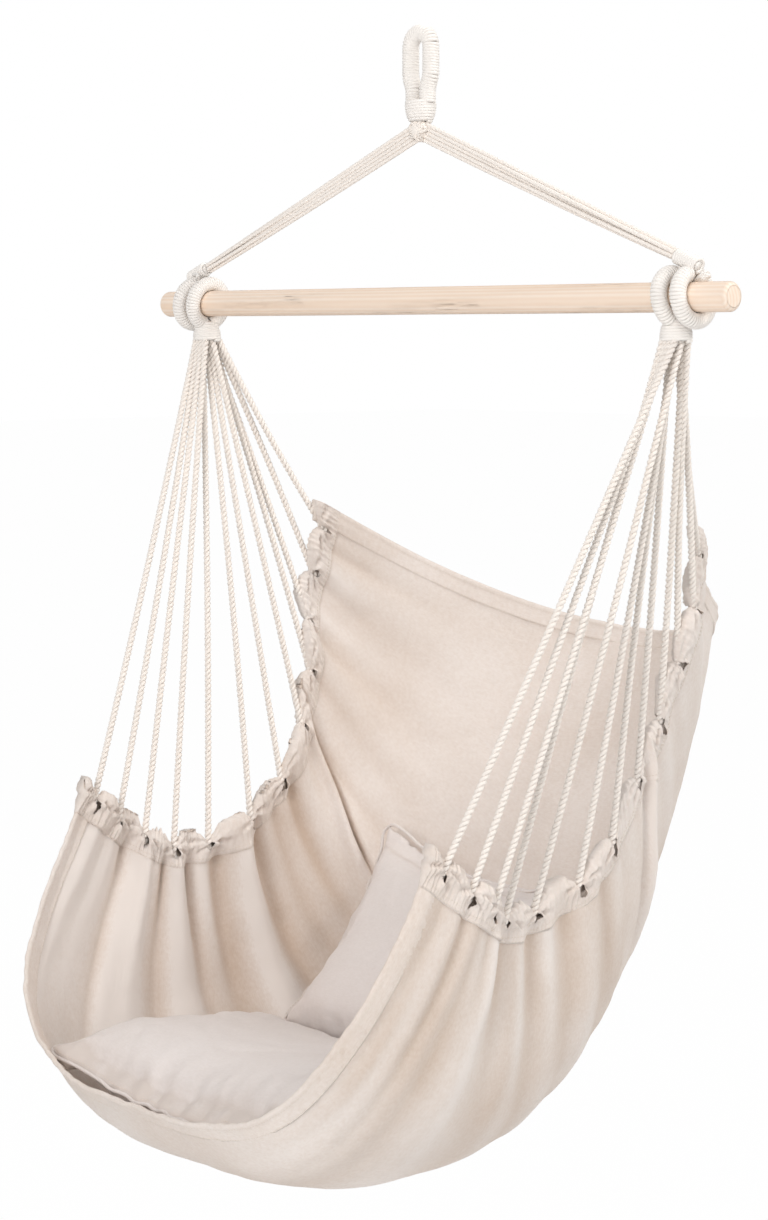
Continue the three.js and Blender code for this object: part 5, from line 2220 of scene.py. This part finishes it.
@dataclass
class Studio:
    """Camera at the photograph's angle, pale floor and soft light."""

    azimuth: float = math.radians(46.4)
    elevation: float = math.radians(5.9)
    distance: float = 3.02
    aside: float = -0.041
    aim_z: float = -0.634
    focal_pixels: float = 2650.0
    tall_pixels: float = 1220.0
    floor_z: float = -1.56
    lamp_aim_z: float = -0.75
    world: float = 0.40
    floor_glow: float = 0.985
    lamps: tuple[Lamp, ...] = (
        Lamp("key_lamp", (1.5, -4.3, 0.9), 1.5, 80.0, (1.0, 0.99, 0.985)),
        Lamp("side_lamp", (2.6, -3.0, 1.6), 1.5, 28.0, (1.0, 0.99, 0.98)),
        Lamp("fill_lamp", (2.7, 1.7, 1.9), 1.6, 72.0, (1.0, 0.985, 0.96)),
        Lamp("top_lamp", (0.2, 0.3, 2.6), 2.0, 17.0, (1.0, 0.995, 0.99)),
    )

    def make_camera(self) -> None:
        """Sets the camera where the photograph was taken from."""
        a, e = self.azimuth, self.elevation
        back = Vector((math.sin(a) * math.cos(e), -math.cos(a) * math.cos(e), math.sin(e)))
        right = (-back).cross(Vector((0, 0, 1))).normalized()
        place = right * self.aside + Vector((0, 0, self.aim_z)) + back * self.distance
        deselect()
        bpy.ops.object.camera_add(location=place)
        camera = bpy.context.object
        camera.name = "studio_camera"
        camera.rotation_euler = back.to_track_quat("Z", "Y").to_euler()
        camera.data.lens = self.focal_pixels / self.tall_pixels * camera.data.sensor_width
        camera.data.clip_end = 60.0
        bpy.context.scene.camera = camera

    def seen_rays(self, graph: Graph) -> Socket:
        """1 for camera, glossy and transmission rays, which see the white background.

        Args:
            graph: The tree that it is read in.

        Returns:
            The socket.
        """
        path = graph.node("LightPath").outputs
        either = graph.math("MAXIMUM", path["Is Camera Ray"], path["Is Glossy Ray"])
        return graph.math("MAXIMUM", either, path["Is Transmission Ray"])

    def make_lights(self) -> None:
        """A broad key, a fill and a light from above, with an even world."""
        for lamp in self.lamps:
            lamp.make(Vector((0, 0, self.lamp_aim_z)))
        world = bpy.data.worlds.new("even_light")
        world.use_nodes = True
        graph = Graph(world.node_tree)
        background = graph.tree.nodes["Background"].inputs
        levels = {"Value": self.seen_rays(graph), "To Min": self.world, "To Max": 1.0}
        graph.feed(background["Color"], (1.0, 1.0, 1.0, 1.0))
        graph.feed(background["Strength"], graph.node("MapRange", levels).outputs["Result"])
        bpy.context.scene.world = world

    def make_floor(self) -> None:
        """A pale floor that keeps the chair's shadow."""
        deselect()
        bpy.ops.mesh.primitive_plane_add(size=60.0, location=(0, 0, self.floor_z))
        floor = settled()
        floor.name = "studio_floor"
        material = bpy.data.materials.new("pale_floor")
        material.use_nodes = True
        graph = Graph(material.node_tree)
        shader = graph.tree.nodes["Principled BSDF"]
        looks = {"Base Color": (0.95, 0.95, 0.95, 1.0), "Roughness": 0.95, "Specular IOR Level": 0.0}
        for key, value in looks.items():
            graph.feed(shader.inputs[key], value)
        glow = graph.node("Emission", {"Color": (1.0, 1.0, 1.0, 1.0)})
        seen = graph.math("MULTIPLY", self.seen_rays(graph), self.floor_glow)
        mix = graph.node("MixShader", {"Fac": seen, 1: shader.outputs[0], 2: glow.outputs[0]})
        graph.feed(graph.tree.nodes["Material Output"].inputs["Surface"], mix.outputs[0])
        floor.data.materials.append(material)

    def make(self) -> None:
        """Makes the whole studio."""
        self.make_camera()
        self.make_lights()
        self.make_floor()
        bpy.context.scene.view_settings.view_transform = "Standard"


def main() -> None:
    """Builds the classes in order and reports each piece."""
    logging.basicConfig(level=logging.INFO, format="%(name)s %(message)s")
    Studio().make()
    finishes, sizes = Finishes(), ChairSizes()
    RopeWork(finishes, sizes).make()
    SpreaderBar(finishes, sizes).make()
    Sling(finishes, sizes, SlingShape(sizes)).make()
    seat = Cushion(
        "seat_cushion_cover", "seat_cushion", Body.SEAT_PAD, 0.428, 0.330, 0.098, math.radians(-8), 1,
        droop=0.024, rear_lift=0.032, top_pull=0.002, crinkle=0.0068, side_border=0.013, foot_border=0.018,
    )
    back = Cushion(
        "back_cushion_cover", "back_cushion", Body.BACK_PAD, 0.428, 0.290, 0.100, math.radians(51), 2,
        top_pull=0.040, far_pull=0.030, near_pull=0.024, meeting_pull=0.0,
        side_border=0.005, top_border=0.026,
    )
    for cushion in (seat, back):
        cushion.make(finishes)
    deselect()


if __name__ == "__main__":
    main()
